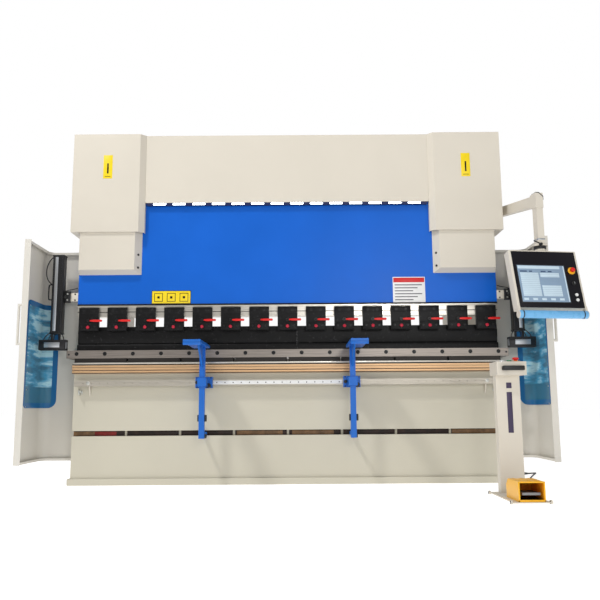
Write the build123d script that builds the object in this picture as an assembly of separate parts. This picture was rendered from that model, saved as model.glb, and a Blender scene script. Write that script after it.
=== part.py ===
from build123d import *
from math import atan2, degrees, hypot, radians, tan
import os

# Press brake. Millimetres, +Z up, +X right, +Y towards the rear.
# The origin lies on the floor under the middle of the bending line (y = 0).

# Fits
RUN_GAP = 0.3            # between flat faces of bodies that slide past each other
PIN_GAP = 0.05           # radial, between a pin or rod and its bore
SHEET = 3.0              # cover sheet

# Bending line and working length
HALF_LENGTH = 1600.0     # half the ram, the tools and the adaptor bar
CLAMP_COUNT = 15
CLAMP_INSET = 95.0        # last clamp's middle from the bar's end
CLAMP_PITCH = 2 * (HALF_LENGTH - CLAMP_INSET) / (CLAMP_COUNT - 1)

# Lower beam
BED_HALF = HALF_LENGTH - 10.0
BED_FRONT = -95.0
BED_REAR = 45.0
BED_PLATE = 40.0
BED_TOP = 810.0
BASE_HALF = HALF_LENGTH + 8.0
BASE_FRONT = -110.0
BASE_T = 48.0
SLIT_Z = 352.0
SLIT_H = 38.0
RIB_PITCH = 400.0
RIB_T = 20.0

# Stack on the lower beam
CAP_FRONT = -119.0
CAP_REAR = 50.0
CAP_H = 60.0
CAP_GROOVE = 5.0
TABLE_FRONT = -112.0
TABLE_H = 17.0
WEDGE_H = 36.0
WEDGE_FRONT = -92.0
WEDGE_REAR = 40.0
WEDGE_PITCH = 400.0
WEDGE_SPLIT = 14.0
RAIL_HALF = HALF_LENGTH + 50.0
RAIL_FRONT = -109.0
RAIL_REAR = 55.0
RAIL_H = 59.0
DIE_SCREW_COUNT = 16
DIE_SCREW_INSET = 75.0
DIE_SCREW_PITCH = 2 * (RAIL_HALF - DIE_SCREW_INSET) / (DIE_SCREW_COUNT - 1)
DIE_SCREW_R = 15.0
DIE_SCREW_UP = 34.0       # over the rail's underside
DIE_SCREW_DEPTH = 12.0

# Tools
DIE_HALF = 30.0
DIE_H = 51.0
DIE_TANG = 10.0
DIE_TANG_H = 12.0
V_HALF = 11.0
V_DEPTH = 15.0
SECTION = 835.0          # a full tool section; the last one is the rest
TOOL_SPLIT = 0.3
SHEET_GAP = 1.0          # punch tip over the die at rest
PUNCH_H = 105.0          # tip to shoulder
PUNCH_HALF = 13.0
TANG_HALF = 6.5
TANG_H = 30.0

# Clamps and ram
CLAMP_W = 150.0
CLAMP_FRONT = -75.0
CLAMP_REAR = 45.0
CLAMP_PLATE = 30.0
CLAMP_LIP = 9.0
CLAMP_BODY_W = 100.0     # behind the front plate
WINDOW_H = 72.0          # open height between two clamps, over the punch tang
BAR_H = 75.0
BAR_FRONT = -45.0
FOOT_H = 22.0
FOOT_FRONT = -60.0
LEVER_L = 96.0
LEVER_H = 11.0
LEVER_PIN_R = 5.0
RAM_FRONT = -50.0
RAM_REAR = 30.0
RAM_TOP = 2250.0
SHOULDER_TOP = 1700.0
SHOULDER_X = HALF_LENGTH - 370.0
RAM_UP = 186.0
RAM_DOWN = 12.0

# Side frames
FRAME_X = HALF_LENGTH - 252.0
FRAME_T = 60.0
FRAME_DEPTH = 1100.0
SPINE_REAR = 720.0
NOSE_FRONT = 110.0
FRAME_TOP = 2668.0
THROAT_BACK = 400.0
THROAT_LOW = 985.0
THROAT_HIGH = 1400.0
THROAT_R = 60.0
GUIDE_LOW = 1430.0
FOOT_PAD = 120.0
FOOT_PAD_T = 30.0
ANCHOR_X = FRAME_X - 58.0
ANCHOR_Y = (120.0, 1020.0)
ANCHOR_R = 13.0

# Cylinders
CYL_X = FRAME_X + 30.0
CYL_Y = -5.0
CYL_R = 92.0
CYL_BORE = 72.0
CYL_LOW = 1900.0
CYL_HIGH = 2520.0
CYL_END = 45.0
ROD_R = 50.0
PISTON_H = 70.0
PISTON_SPARE = 59.0      # between the raised piston and the cylinder's end

# Covers and fascia
COVER_X0 = HALF_LENGTH - 500.0
COVER_BEVEL = 40.0
COVER_X1 = HALF_LENGTH + 57.0
COVER_FRONT = -124.0
COVER_LOW = 1888.0
COVER_REAR = 110.0
TOP_SHEET = 4.0
FASCIA_FRONT = -84.0
FASCIA_LOW = 2126.0
TOP_REAR = 260.0
LED_HALF = COVER_X0 - 15.0
LED_H = 22.0
LED_REAR = -62.0
ROD_COVER_X = (HALF_LENGTH - 480.0, HALF_LENGTH - 434.0, HALF_LENGTH - 11.0, HALF_LENGTH - 1.0)
ROD_COVER_FRONT = -106.0
ROD_COVER_LOW = 1565.0
ROD_COVER_BEVEL = 32.0
ROD_COVER_HIGH = 1950.0

# Upper beam and hydraulics
BEAM_FRONT = 200.0
BEAM_T = 60.0
BEAM_LOW = 1700.0
TANK_Y = (260.0, 600.0)
TANK_Z = (2050.0, 2450.0)
TANK_HALF = 700.0
MOTOR_R = 95.0

# Front supports
SUPPORT_RAIL_HALF = HALF_LENGTH - 30.0
RAIL_BRACKET_PITCH = 300.0
RAIL_BRACKET_W = 60.0
SUPPORT_RAIL_FRONT = -156.0
SUPPORT_RAIL_BACK = -118.0
SUPPORT_RAIL_Z = (715.0, 757.0)
HOLE_PITCH = 60.0
GUSSET_X = HALF_LENGTH - 134.0
EYE_AT = (HALF_LENGTH - 66.0, 672.0)
POST_X = {"left": -611.0, "right": 471.0}
POST = 40.0
POST_FRONT = -290.0
POST_LOW = 337.0
ARM_W = 119.0
ARM_SHIFT = 25.0
ARM_FRONT = -634.0
ARM_REAR = -130.0
ARM_LOW = 990.0
ARM_T = 20.0
CARRIAGE_W = 124.0
CARRIAGE_T = 30.0
ROLLER_R = 18.0

# Side guards
GUARD_X = HALF_LENGTH + 285.0
GUARD_FRONT = -407.0
GUARD_REAR = 73.0
GUARD_T = 4.0
GUARD_R = 80.0
GUARD_IN = HALF_LENGTH - 40.0
GUARD_Z = (168.0, 1765.0)
GUARD_FLANGE = 46.0
GUARD_RIM = 25.0
WINDOW_Y = -290.0
WINDOW_X = GUARD_X - 90.0
WINDOW_Z = (581.0, 1325.0)
WINDOW_LAP = 22.0
WINDOW_T = 4.0
GRIP_Z = (1002.0, 1298.0)
GRIP_Y = -372.0
GRIP_OUT = 40.0
GRIP_R = 9.0
PIVOT_X = HALF_LENGTH - 50.0
PIVOT_Y = 90.0
PIVOT_R = 8.0
KNUCKLE_R = 14.0
KNUCKLE_Z = (400.0, 1500.0)
KNUCKLE_H = 60.0

# Laser guards on the ram ends
LASER_HEAD_X = (HALF_LENGTH + 52.0, HALF_LENGTH + 251.0)
LASER_HEAD_Y = (-140.0, -80.0)
LASER_HEAD_DROP = 50.0    # below the punch tip
LASER_HEAD_H = 78.0
LASER_STRUT = 14.0
LASER_STRUT_AT = 28.0
LASER_COLUMN_X = (HALF_LENGTH + 100.0, HALF_LENGTH + 185.0)
LASER_COLUMN_Y = (-100.0, -40.0)
LASER_COLUMN_UP = 50.0    # over the head
LASER_COLUMN_TOP = 1712.0
LASER_ARM_Z = (1370.0, 1420.0)

# Pendant
BOOM_PIVOT = (HALF_LENGTH + 90.0, 160.0)
BOOM_ELBOW = (HALF_LENGTH + 185.0, -520.0)
BOOM_Z = 2085.0           # at the pivot; it slopes down to the elbow
ELBOW_Z = 1988.0
BOOM_W = 44.0
BOOM_H = 80.0
BOOM_LEVEL = 60.0         # level underside over the bracket
DROP_W = 48.0
DROP_LOW = 1676.0
COLLAR_R = 38.0
CASE_W = 496.0
CASE_H = 428.0
CASE_D = 80.0
CASE_TOP = 1618.0
CASE_SHIFT = -8.0
CASE_AHEAD = 42.0
CASE_TILT = 14.0
CASE_WALL = 15.0
HANDLE_R = 27.0
HANDLE_GAP = 16.0
EAR_W = 16.0
ESTOP_R = 16.0
ESTOP_OUT = 30.0

# Pedestal and foot switch
COLUMN_X = (1344.0, 1496.0)
COLUMN_Y = (-820.0, -758.0)
HEAD_X = (1339.0, 1529.0)
HEAD_Y = (-880.0, -700.0)
HEAD_Z = (746.0, 831.0)
PLATE_X = (1290.0, 1505.0)
PLATE_Y = (-1250.0, -745.0)
PLATE_Z = (8.0, 14.0)
CASTER_R = 12.0
CASTER_W = 12.0
PED_ESTOP = (1487.0, -790.0)
HOOD_X = (1325.0, 1475.0)
HOOD_Y = (-1240.0, -1000.0)
HOOD_H = 112.0
HOOD_WALL = 5.0
PEDAL_PIN = (-1055.0, 48.0)
PEDAL_PIN_R = 5.0
CORD_D = 9.0
CORD_POINTS = (
    (1508.0, -772.0, 128.0),
    (1536.0, -772.0, 128.0),
    (1558.0, -796.0, 132.0),
    (1562.0, -834.0, 136.0),
    (1549.0, -870.0, 138.0),
    (1524.0, -898.0, 130.0),
    (1494.0, -919.0, 109.0),
    (1464.0, -944.0, 79.0),
    (1464.0, -984.0, 79.0),
)

# Back gauge and cabinet
SLIDEWAY_X = 900.0
SLIDEWAY_W = 100.0
SLIDEWAY_Z = (700.0, 780.0)
SLIDEWAY_REAR = 1000.0
GAUGE_Y = (565.0, 635.0)
GAUGE_DROP = 103.0           # from the die's top to the beam's underside
GAUGE_BEAM_H = 80.0
GAUGE_HALF = FRAME_X - 98.0
FINGER_X = 500.0
FINGER_TIP = 250.0
FINGER_RISE = 29.0           # of the finger's top over the die
CABINET_W = 420.0
CABINET_Y = (470.0, 1060.0)
CABINET_Z = (350.0, 1700.0)

# Heights that follow from the stack
CAP_TOP = BED_TOP + CAP_H
TABLE_TOP = CAP_TOP + TABLE_H
RAIL_LOW = TABLE_TOP + WEDGE_H
RAIL_TOP = RAIL_LOW + RAIL_H
DIE_TOP = RAIL_TOP + DIE_H
FINGER_TOP = DIE_TOP + FINGER_RISE
GAUGE_Z = (DIE_TOP - GAUGE_DROP, DIE_TOP - GAUGE_DROP + GAUGE_BEAM_H)
PUNCH_TIP = DIE_TOP + SHEET_GAP
SHOULDER_Z = PUNCH_TIP + PUNCH_H
TANG_TOP = SHOULDER_Z + TANG_H
BAR_LOW = TANG_TOP + WINDOW_H
BAR_TOP = BAR_LOW + BAR_H
RAM_LOW = BAR_TOP + FOOT_H
CLAMP_LOW = SHOULDER_Z - CLAMP_LIP
CLAMP_HIGH = BAR_TOP - 7.0
LEVER_Z = TANG_TOP + 40.0
LASER_HEAD_Z = (PUNCH_TIP - LASER_HEAD_DROP, PUNCH_TIP - LASER_HEAD_DROP + LASER_HEAD_H)
LASER_COLUMN_Z = (LASER_HEAD_Z[1] + LASER_COLUMN_UP, LASER_COLUMN_TOP)
FRAME_OUT = FRAME_X + FRAME_T
GUIDE_HIGH = SHOULDER_TOP - RAM_DOWN - 6.0
PISTON_LOW = CYL_HIGH - CYL_END - PISTON_SPARE - RAM_UP - PISTON_H
BED_BACK_PLATE = BED_REAR - BED_PLATE
CLAMP_X = [(i - (CLAMP_COUNT - 1) / 2) * CLAMP_PITCH for i in range(CLAMP_COUNT)]
SIDES = (("left", -1), ("right", 1))
RIGHT_TO_LEFT = Plane.YZ


def block(x, y, z):
    """A box between two corners, each given as a (low, high) pair per axis."""
    size = Box(x[1] - x[0], y[1] - y[0], z[1] - z[0])
    return Pos((x[0] + x[1]) / 2, (y[0] + y[1]) / 2, (z[0] + z[1]) / 2) * size


def prism_x(points, x):
    """A (y, z) outline drawn out along X."""
    outline = Polyline(*[(x[0], a, b) for a, b in points], close=True)
    return extrude(make_face(outline), amount=x[1] - x[0], dir=(1, 0, 0))


def prism_y(points, y):
    """An (x, z) outline drawn out along Y."""
    outline = Polyline(*[(a, y[0], b) for a, b in points], close=True)
    return extrude(make_face(outline), amount=y[1] - y[0], dir=(0, 1, 0))


def prism_z(points, z):
    """An (x, y) outline drawn out along Z."""
    outline = Polyline(*[(a, b, z[0]) for a, b in points], close=True)
    return extrude(make_face(outline), amount=z[1] - z[0], dir=(0, 0, 1))


def rod_x(radius, y, z, x):
    return Pos((x[0] + x[1]) / 2, y, z) * Rot(0, 90, 0) * Cylinder(radius, x[1] - x[0])


def rod_y(radius, x, z, y):
    return Pos(x, (y[0] + y[1]) / 2, z) * Rot(90, 0, 0) * Cylinder(radius, y[1] - y[0])


def rod_z(radius, x, y, z):
    return Pos(x, y, (z[0] + z[1]) / 2) * Cylinder(radius, z[1] - z[0])


def for_side(shape, sign):
    """A right-hand shape as it stands, or its mirror image for the left."""
    return shape if sign > 0 else mirror(shape, about=RIGHT_TO_LEFT)


def group(shapes):
    """Separate solids that share one node."""
    solids = []
    for shape in shapes:
        solids.extend(shape.solids())
    return Compound(solids)


def span(centre, width):
    return (centre - width / 2, centre + width / 2)


def save(shape, node):
    export_step(shape, f"parts/{node}.step")


# ---------------------------------------------------------------- lower beam


def lower_beam():
    body = block((-BASE_HALF, BASE_HALF), (BASE_FRONT, BED_REAR), (0, BASE_T))
    front = (BED_FRONT, BED_FRONT + BED_PLATE)
    width = (-BED_HALF, BED_HALF)
    body += block(width, front, (BASE_T, BED_TOP))
    body += block(width, (BED_BACK_PLATE, BED_REAR), (BASE_T, BED_TOP))
    inside = (front[1], BED_BACK_PLATE)
    body += block(width, inside, (BED_TOP - BED_PLATE, BED_TOP))
    ends = BED_HALF - RIB_T / 2
    count = int(ends // RIB_PITCH)
    for x in [-ends, ends] + [i * RIB_PITCH for i in range(-count, count + 1)]:
        body += block(span(x, RIB_T), inside, (BASE_T, BED_TOP - BED_PLATE))
    return body - block(width, front, (SLIT_Z, SLIT_Z + SLIT_H))


def beam_cap():
    body = block((-HALF_LENGTH, HALF_LENGTH), (CAP_FRONT, CAP_REAR), (BED_TOP, CAP_TOP))
    groove_z = BED_TOP + CAP_H * 0.37
    groove = block((-HALF_LENGTH, HALF_LENGTH), (CAP_FRONT, CAP_FRONT + CAP_GROOVE),
                   span(groove_z, CAP_GROOVE))
    return body - groove


def crowning_base():
    body = block((-HALF_LENGTH, HALF_LENGTH), (TABLE_FRONT, CAP_REAR), (CAP_TOP, TABLE_TOP))
    count = int(2 * HALF_LENGTH // WEDGE_PITCH)
    for i in range(count):
        centre = (i - (count - 1) / 2) * WEDGE_PITCH
        body += block(span(centre, WEDGE_PITCH - WEDGE_SPLIT), (WEDGE_FRONT, WEDGE_REAR),
                      (TABLE_TOP, RAIL_LOW))
    return body


def die_screw_places():
    first = -(DIE_SCREW_COUNT - 1) / 2 * DIE_SCREW_PITCH
    return [first + i * DIE_SCREW_PITCH for i in range(DIE_SCREW_COUNT)]


def die_rail():
    body = block((-RAIL_HALF, RAIL_HALF), (RAIL_FRONT, RAIL_REAR), (RAIL_LOW, RAIL_TOP))
    slot = DIE_TANG + RUN_GAP
    body -= block((-RAIL_HALF, RAIL_HALF), (-slot, slot), (RAIL_TOP - DIE_TANG_H - RUN_GAP, RAIL_TOP))
    z = RAIL_LOW + DIE_SCREW_UP
    hole_end = RAIL_FRONT + DIE_SCREW_DEPTH
    return body - [rod_y(DIE_SCREW_R, x, z, (RAIL_FRONT, hole_end)) for x in die_screw_places()]


def die_clamp_screws():
    z = RAIL_LOW + DIE_SCREW_UP
    head = (RAIL_FRONT + 1.5, RAIL_FRONT + DIE_SCREW_DEPTH)
    socket = (head[0], head[0] + 5.0)
    screws = []
    for x in die_screw_places():
        screws.append(rod_y(DIE_SCREW_R - RUN_GAP, x, z, head) - rod_y(DIE_SCREW_R * 0.45, x, z, socket))
    return group(screws)


def sections(outline):
    """A tool profile cut into its sections along the working length."""
    step = SECTION + TOOL_SPLIT
    count = int(2 * HALF_LENGTH // step)
    starts = [-HALF_LENGTH + i * step for i in range(count + 1)]
    ends = [x + SECTION for x in starts[:-1]] + [HALF_LENGTH]
    return group([prism_x(outline, ends_at) for ends_at in zip(starts, ends)])


def dies():
    land = DIE_HALF - 6.0
    outline = [(-DIE_TANG, RAIL_TOP - DIE_TANG_H), (DIE_TANG, RAIL_TOP - DIE_TANG_H),
               (DIE_TANG, RAIL_TOP), (DIE_HALF, RAIL_TOP), (DIE_HALF, DIE_TOP - V_DEPTH),
               (land, DIE_TOP), (V_HALF, DIE_TOP), (0, DIE_TOP - V_DEPTH), (-V_HALF, DIE_TOP),
               (-land, DIE_TOP), (-DIE_HALF, DIE_TOP - V_DEPTH), (-DIE_HALF, RAIL_TOP),
               (-DIE_TANG, RAIL_TOP)]
    return sections(outline)


# ---------------------------------------------------------------- ram and tools


def punches():
    waist = PUNCH_HALF - 4.0
    half = [(1.0, PUNCH_TIP), (waist, PUNCH_TIP + 14.0), (waist, PUNCH_TIP + 36.0),
            (PUNCH_HALF, PUNCH_TIP + 46.0), (PUNCH_HALF, SHOULDER_Z), (TANG_HALF, SHOULDER_Z),
            (TANG_HALF, TANG_TOP)]
    return sections(half + [(-y, z) for y, z in reversed(half)])


def clamp_blocks():
    plate_rear = CLAMP_FRONT + CLAMP_PLATE - RUN_GAP
    slot = TANG_HALF + RUN_GAP
    roof = TANG_TOP + 1.0
    plate = [(CLAMP_FRONT, CLAMP_LOW), (CLAMP_FRONT, CLAMP_HIGH), (plate_rear, CLAMP_HIGH),
             (plate_rear, CLAMP_LOW)]
    body = [(plate_rear - 1, CLAMP_LOW), (plate_rear - 1, BAR_LOW), (CLAMP_REAR, BAR_LOW),
            (CLAMP_REAR, SHOULDER_Z), (slot, SHOULDER_Z), (slot, roof), (-slot, roof),
            (-slot, SHOULDER_Z), (-PUNCH_HALF - CLAMP_LIP, SHOULDER_Z),
            (-PUNCH_HALF - CLAMP_LIP, CLAMP_LOW)]
    pin_y = (CLAMP_FRONT - LEVER_H, CLAMP_FRONT)
    pieces = []
    for x in CLAMP_X:
        clamp = prism_x(plate, span(x, CLAMP_W)) + prism_x(body, span(x, CLAMP_BODY_W))
        pieces.append(clamp + rod_y(LEVER_PIN_R, x, LEVER_Z, pin_y))
    return group(pieces)


def clamp_lever(x):
    """A flat lever on the clamp's pin, with a thicker hub, pointing to the right."""
    rear = CLAMP_FRONT - RUN_GAP
    hub = rod_y(13.0, x, LEVER_Z, (rear - LEVER_H, rear))
    blade = block((x, x + LEVER_L), (rear - LEVER_H + 2.0, rear - 1.0), span(LEVER_Z, LEVER_H))
    tip = rod_y(LEVER_H * 0.75, x + LEVER_L, LEVER_Z, (rear - LEVER_H, rear))
    pin_hole = rod_y(LEVER_PIN_R + PIN_GAP, x, LEVER_Z, (rear - 2 * LEVER_H, rear + 1.0))
    return hub + blade + tip - pin_hole


def clamp_rail():
    body = block((-HALF_LENGTH, HALF_LENGTH), (BAR_FRONT, RAM_REAR), (BAR_LOW, BAR_TOP))
    return body + block((-HALF_LENGTH, HALF_LENGTH), (FOOT_FRONT, RAM_REAR), (BAR_TOP, RAM_LOW))


def ram():
    half = [(SHOULDER_X, RAM_TOP), (SHOULDER_X, SHOULDER_TOP), (HALF_LENGTH, SHOULDER_TOP),
            (HALF_LENGTH, RAM_LOW)]
    return prism_y([(-x, z) for x, z in reversed(half)] + half, (RAM_FRONT, RAM_REAR))


def cover_outline(inset):
    """The rod cover's plan: a shallow pan with slanted sides, open to the ram."""
    x0, x1, x2, x3 = ROD_COVER_X
    back = RAM_FRONT
    front = ROD_COVER_FRONT + inset
    return [(x0 + inset, back), (x1 + inset * 0.6, front), (x2 - inset * 0.8, front), (x3 - inset, back)]


def rod_cover():
    z = (ROD_COVER_LOW, ROD_COVER_HIGH)
    slope = [(RAM_FRONT, z[0]), (ROD_COVER_FRONT, z[0] + ROD_COVER_BEVEL),
             (ROD_COVER_FRONT - 1, z[0] - 1), (RAM_FRONT, z[0] - 1)]
    under = prism_x(slope, (ROD_COVER_X[0] - 1, ROD_COVER_X[3] + 1))
    outer = prism_z(cover_outline(0), z) - under
    inner = prism_z(cover_outline(SHEET), (z[0], z[1] + 1)) - Pos(0, 0, SHEET + 1) * under
    floor = (z[0] - 1, z[0] + SHEET + 1)
    inner -= block((ROD_COVER_X[0], ROD_COVER_X[3]), (ROD_COVER_FRONT - 1, RAM_FRONT), floor)
    return outer - inner


def piston_rod():
    rod = rod_z(ROD_R, CYL_X, CYL_Y, (SHOULDER_TOP, PISTON_LOW))
    return rod + rod_z(CYL_BORE - PIN_GAP, CYL_X, CYL_Y, (PISTON_LOW, PISTON_LOW + PISTON_H))


def laser_guard():
    head = block(LASER_HEAD_X, LASER_HEAD_Y, LASER_HEAD_Z)
    column = block(LASER_COLUMN_X, LASER_COLUMN_Y, LASER_COLUMN_Z)
    middle = sum(LASER_COLUMN_X) / 2
    strut_y = (LASER_COLUMN_Y[0] + 2, LASER_HEAD_Y[1])
    strut_z = (LASER_HEAD_Z[1] - 1, LASER_COLUMN_Z[0] + 1)
    for x in (middle - LASER_STRUT_AT, middle + LASER_STRUT_AT):
        head += block(span(x, LASER_STRUT), strut_y, strut_z)
    arm = block((HALF_LENGTH, LASER_COLUMN_X[0] + 5), (LASER_COLUMN_Y[1] - 5, 15.0), LASER_ARM_Z)
    return head + column + arm


# ---------------------------------------------------------------- side frames


def side_frame():
    x = (FRAME_X, FRAME_OUT)
    outline = [(BED_REAR, 0), (FRAME_DEPTH, 0), (FRAME_DEPTH, 700), (SPINE_REAR + 40, 1000),
               (SPINE_REAR, 1100), (SPINE_REAR, FRAME_TOP), (NOSE_FRONT, FRAME_TOP),
               (NOSE_FRONT, THROAT_LOW), (RAIL_REAR + 10, THROAT_LOW), (RAIL_REAR + 10, BED_TOP - 5),
               (BED_REAR, BED_TOP - 5)]
    body = prism_x(outline, x)
    throat = block((x[0] - 1, x[1] + 1), (BED_REAR, THROAT_BACK), (THROAT_LOW, THROAT_HIGH))
    corners = throat.edges().filter_by(Axis.X).sort_by(Axis.Y)[-2:]
    body -= fillet(corners, THROAT_R)
    body += block((x[0] - 8, x[1] + 8), (RAM_REAR + RUN_GAP, NOSE_FRONT + 1), (GUIDE_LOW, GUIDE_HIGH))
    for y in ANCHOR_Y:
        pad = block((ANCHOR_X - FOOT_PAD / 2, x[0] + 1), span(y, FOOT_PAD), (0, FOOT_PAD_T))
        body += pad - rod_z(ANCHOR_R, ANCHOR_X, y, (-1, FOOT_PAD_T + 1))
    for z in KNUCKLE_Z:
        reach = (x[1] - 1, PIVOT_X + 10)
        body += block(reach, span(PIVOT_Y, 24), (z - 30, z))
        body += rod_z(PIVOT_R, PIVOT_X, PIVOT_Y, (z, z + KNUCKLE_H))
    return body


def boom_bracket():
    """The arm that carries the pendant's pivot, outside the right frame."""
    reach = (FRAME_OUT - 1, BOOM_PIVOT[0] + 40)
    low = BOOM_Z - BOOM_H / 2
    arm = block(reach, (BOOM_PIVOT[1] - 35, BOOM_PIVOT[1] + 35), (low - 80, low - RUN_GAP))
    return arm + rod_z(18.0, BOOM_PIVOT[0], BOOM_PIVOT[1], (low - RUN_GAP, BOOM_Z + BOOM_H / 2 + 12))


# ---------------------------------------------------------------- upper structure


def cylinders():
    z = (CYL_LOW, CYL_HIGH)
    body = rod_z(CYL_R, CYL_X, CYL_Y, z)
    body += block(span(CYL_X, 240.0), (CYL_Y - CYL_R, NOSE_FRONT), (2380.0, 2440.0))
    body -= rod_z(CYL_BORE, CYL_X, CYL_Y, (z[0] + CYL_END, z[1] - CYL_END))
    body -= rod_z(ROD_R + PIN_GAP, CYL_X, CYL_Y, (z[0] - 1, z[0] + CYL_END + 1))
    return group([body, mirror(body, about=RIGHT_TO_LEFT)])


def cylinder_cover():
    x0, x1 = COVER_X0, COVER_X1
    wall_end = RAM_FRONT - 2.0
    t = SHEET
    outline = [(x0, wall_end), (x0, FASCIA_FRONT), (x0 + COVER_BEVEL, COVER_FRONT), (x1, COVER_FRONT),
               (x1, COVER_REAR), (x1 - t, COVER_REAR), (x1 - t, COVER_FRONT + t),
               (x0 + COVER_BEVEL + t * 0.42, COVER_FRONT + t), (x0 + t, FASCIA_FRONT + t * 0.42),
               (x0 + t, wall_end)]
    lid = [(x0, FASCIA_FRONT), (x0 + COVER_BEVEL, COVER_FRONT), (x1, COVER_FRONT), (x1, TOP_REAR),
           (x0, TOP_REAR)]
    shell = prism_z(outline, (COVER_LOW, FRAME_TOP))
    lip = (COVER_LOW, COVER_LOW + SHEET)
    lip_x = ROD_COVER_X[3] + 3
    shell += block((lip_x, x1 - 1), (COVER_FRONT + 1, COVER_REAR), lip)
    shell += block((x0 + COVER_BEVEL + 4, lip_x + 1), (COVER_FRONT + 1, ROD_COVER_FRONT - 2.5), lip)
    return shell + prism_z(lid, (FRAME_TOP, FRAME_TOP + TOP_SHEET))


def front_fascia():
    width = (-COVER_X0, COVER_X0)
    body = block(width, (FASCIA_FRONT, FASCIA_FRONT + TOP_SHEET), (FASCIA_LOW, FRAME_TOP + TOP_SHEET))
    return body + block(width, (FASCIA_FRONT, TOP_REAR), (FRAME_TOP, FRAME_TOP + TOP_SHEET))


def led_strip():
    return block((-LED_HALF, LED_HALF), (FASCIA_FRONT + 2.0, LED_REAR), (FASCIA_LOW - LED_H, FASCIA_LOW))


def upper_beam():
    return block((-FRAME_X, FRAME_X), (BEAM_FRONT, BEAM_FRONT + BEAM_T), (BEAM_LOW, FRAME_TOP))


def hydraulic_unit():
    body = block((-TANK_HALF, TANK_HALF), TANK_Y, TANK_Z)
    top = TANK_Z[1]
    motor_y = sum(TANK_Y) / 2
    body += rod_x(MOTOR_R, motor_y, top + MOTOR_R + 15, (-60.0, 300.0))
    body += block((-20.0, 260.0), span(motor_y, 150.0), (top, top + 60.0))
    body += block((-330.0, -60.0), span(motor_y, 130.0), (top, top + 150.0))
    body += rod_z(40.0, 520.0, motor_y, (top, top + 90.0))
    return body


# ---------------------------------------------------------------- front supports


def support_rail():
    z = SUPPORT_RAIL_Z
    body = block((-SUPPORT_RAIL_HALF, SUPPORT_RAIL_HALF), (SUPPORT_RAIL_FRONT, SUPPORT_RAIL_BACK), z)
    brackets = int((SUPPORT_RAIL_HALF - RAIL_BRACKET_W / 2) // RAIL_BRACKET_PITCH)
    for i in range(-brackets, brackets + 1):
        x = span(i * RAIL_BRACKET_PITCH, RAIL_BRACKET_W)
        body += block(x, (SUPPORT_RAIL_BACK, BED_FRONT), (z[0] + 8, z[1] - 8))
    for sign in (-1, 1):
        x = sign * GUSSET_X
        gusset = [(SUPPORT_RAIL_BACK, z[1]), (BED_FRONT, z[1]), (BED_FRONT, z[0] - 70),
                  (SUPPORT_RAIL_BACK, z[0])]
        body += prism_x(gusset, span(x, 12.0))
    count = int(2 * SUPPORT_RAIL_HALF // HOLE_PITCH) - 1
    mid = sum(z) / 2
    holes = []
    for i in range(count):
        x = (i - (count - 1) / 2) * HOLE_PITCH
        holes.append(rod_y(5.5, x, mid, (SUPPORT_RAIL_FRONT, SUPPORT_RAIL_FRONT + 6.0)))
    return body - holes


def lifting_eyes():
    eyes = []
    for sign in (-1, 1):
        x, z = sign * EYE_AT[0], EYE_AT[1]
        shank = rod_y(9.0, x, z, (BED_FRONT - 16.0, BED_FRONT))
        collar = rod_y(16.0, x, z, (BED_FRONT - 5.0, BED_FRONT))
        ring = Pos(x, BED_FRONT - 32.0, z) * Rot(0, 90, 0) * Torus(19.0, 5.5)
        eyes.append(shank + collar + ring)
    return group(eyes)


def support_carriage(x):
    z0, z1 = SUPPORT_RAIL_Z
    face = SUPPORT_RAIL_FRONT - RUN_GAP
    wide = span(x, CARRIAGE_W)
    body = block(wide, (face - CARRIAGE_T, face), (z0 - 20, z1 + 20))
    for z in ((z0 - 20, z0 - RUN_GAP), (z1 + RUN_GAP, z1 + 20)):
        body += block(wide, (face - 1, SUPPORT_RAIL_BACK - 14), z)
    sleeve_y = (POST_FRONT - 12.0, face - CARRIAGE_T + 1)
    body += block(span(x, POST + 24.0), sleeve_y, (z0 - 10, z1 + 10))
    hole = POST / 2 + RUN_GAP
    centre = POST_FRONT + POST / 2
    return body - block((x - hole, x + hole), (centre - hole, centre + hole), (z0 - 30, z1 + 30))


def support_arm(x, sign):
    centre = POST_FRONT + POST / 2
    post = block(span(x, POST), span(centre, POST), (POST_LOW, ARM_LOW))
    arm = block(span(x + sign * ARM_SHIFT, ARM_W), (ARM_FRONT, ARM_REAR), (ARM_LOW, ARM_LOW + ARM_T))
    brace = [(POST_FRONT + 2, ARM_LOW), (POST_FRONT + 2, ARM_LOW - 150), (ARM_FRONT + 120, ARM_LOW)]
    gusset = prism_x(brace, span(x, 12.0))
    roller_y = BED_FRONT - RUN_GAP - ROLLER_R
    foot = block(span(x, 26.0), (centre, roller_y - 4.0), (POST_LOW, POST_LOW + 14.0))
    axle = rod_z(8.0, x, roller_y - 2.0, (POST_LOW, POST_LOW + 20.0))
    tongue = block(span(x, 20.0), (centre, roller_y), (POST_LOW, POST_LOW + 14.0))
    roller = rod_z(ROLLER_R, x, roller_y, (POST_LOW + 14.0, POST_LOW + 40.0))
    return post + arm + gusset + foot + tongue + axle + roller


# ---------------------------------------------------------------- side guards


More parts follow.
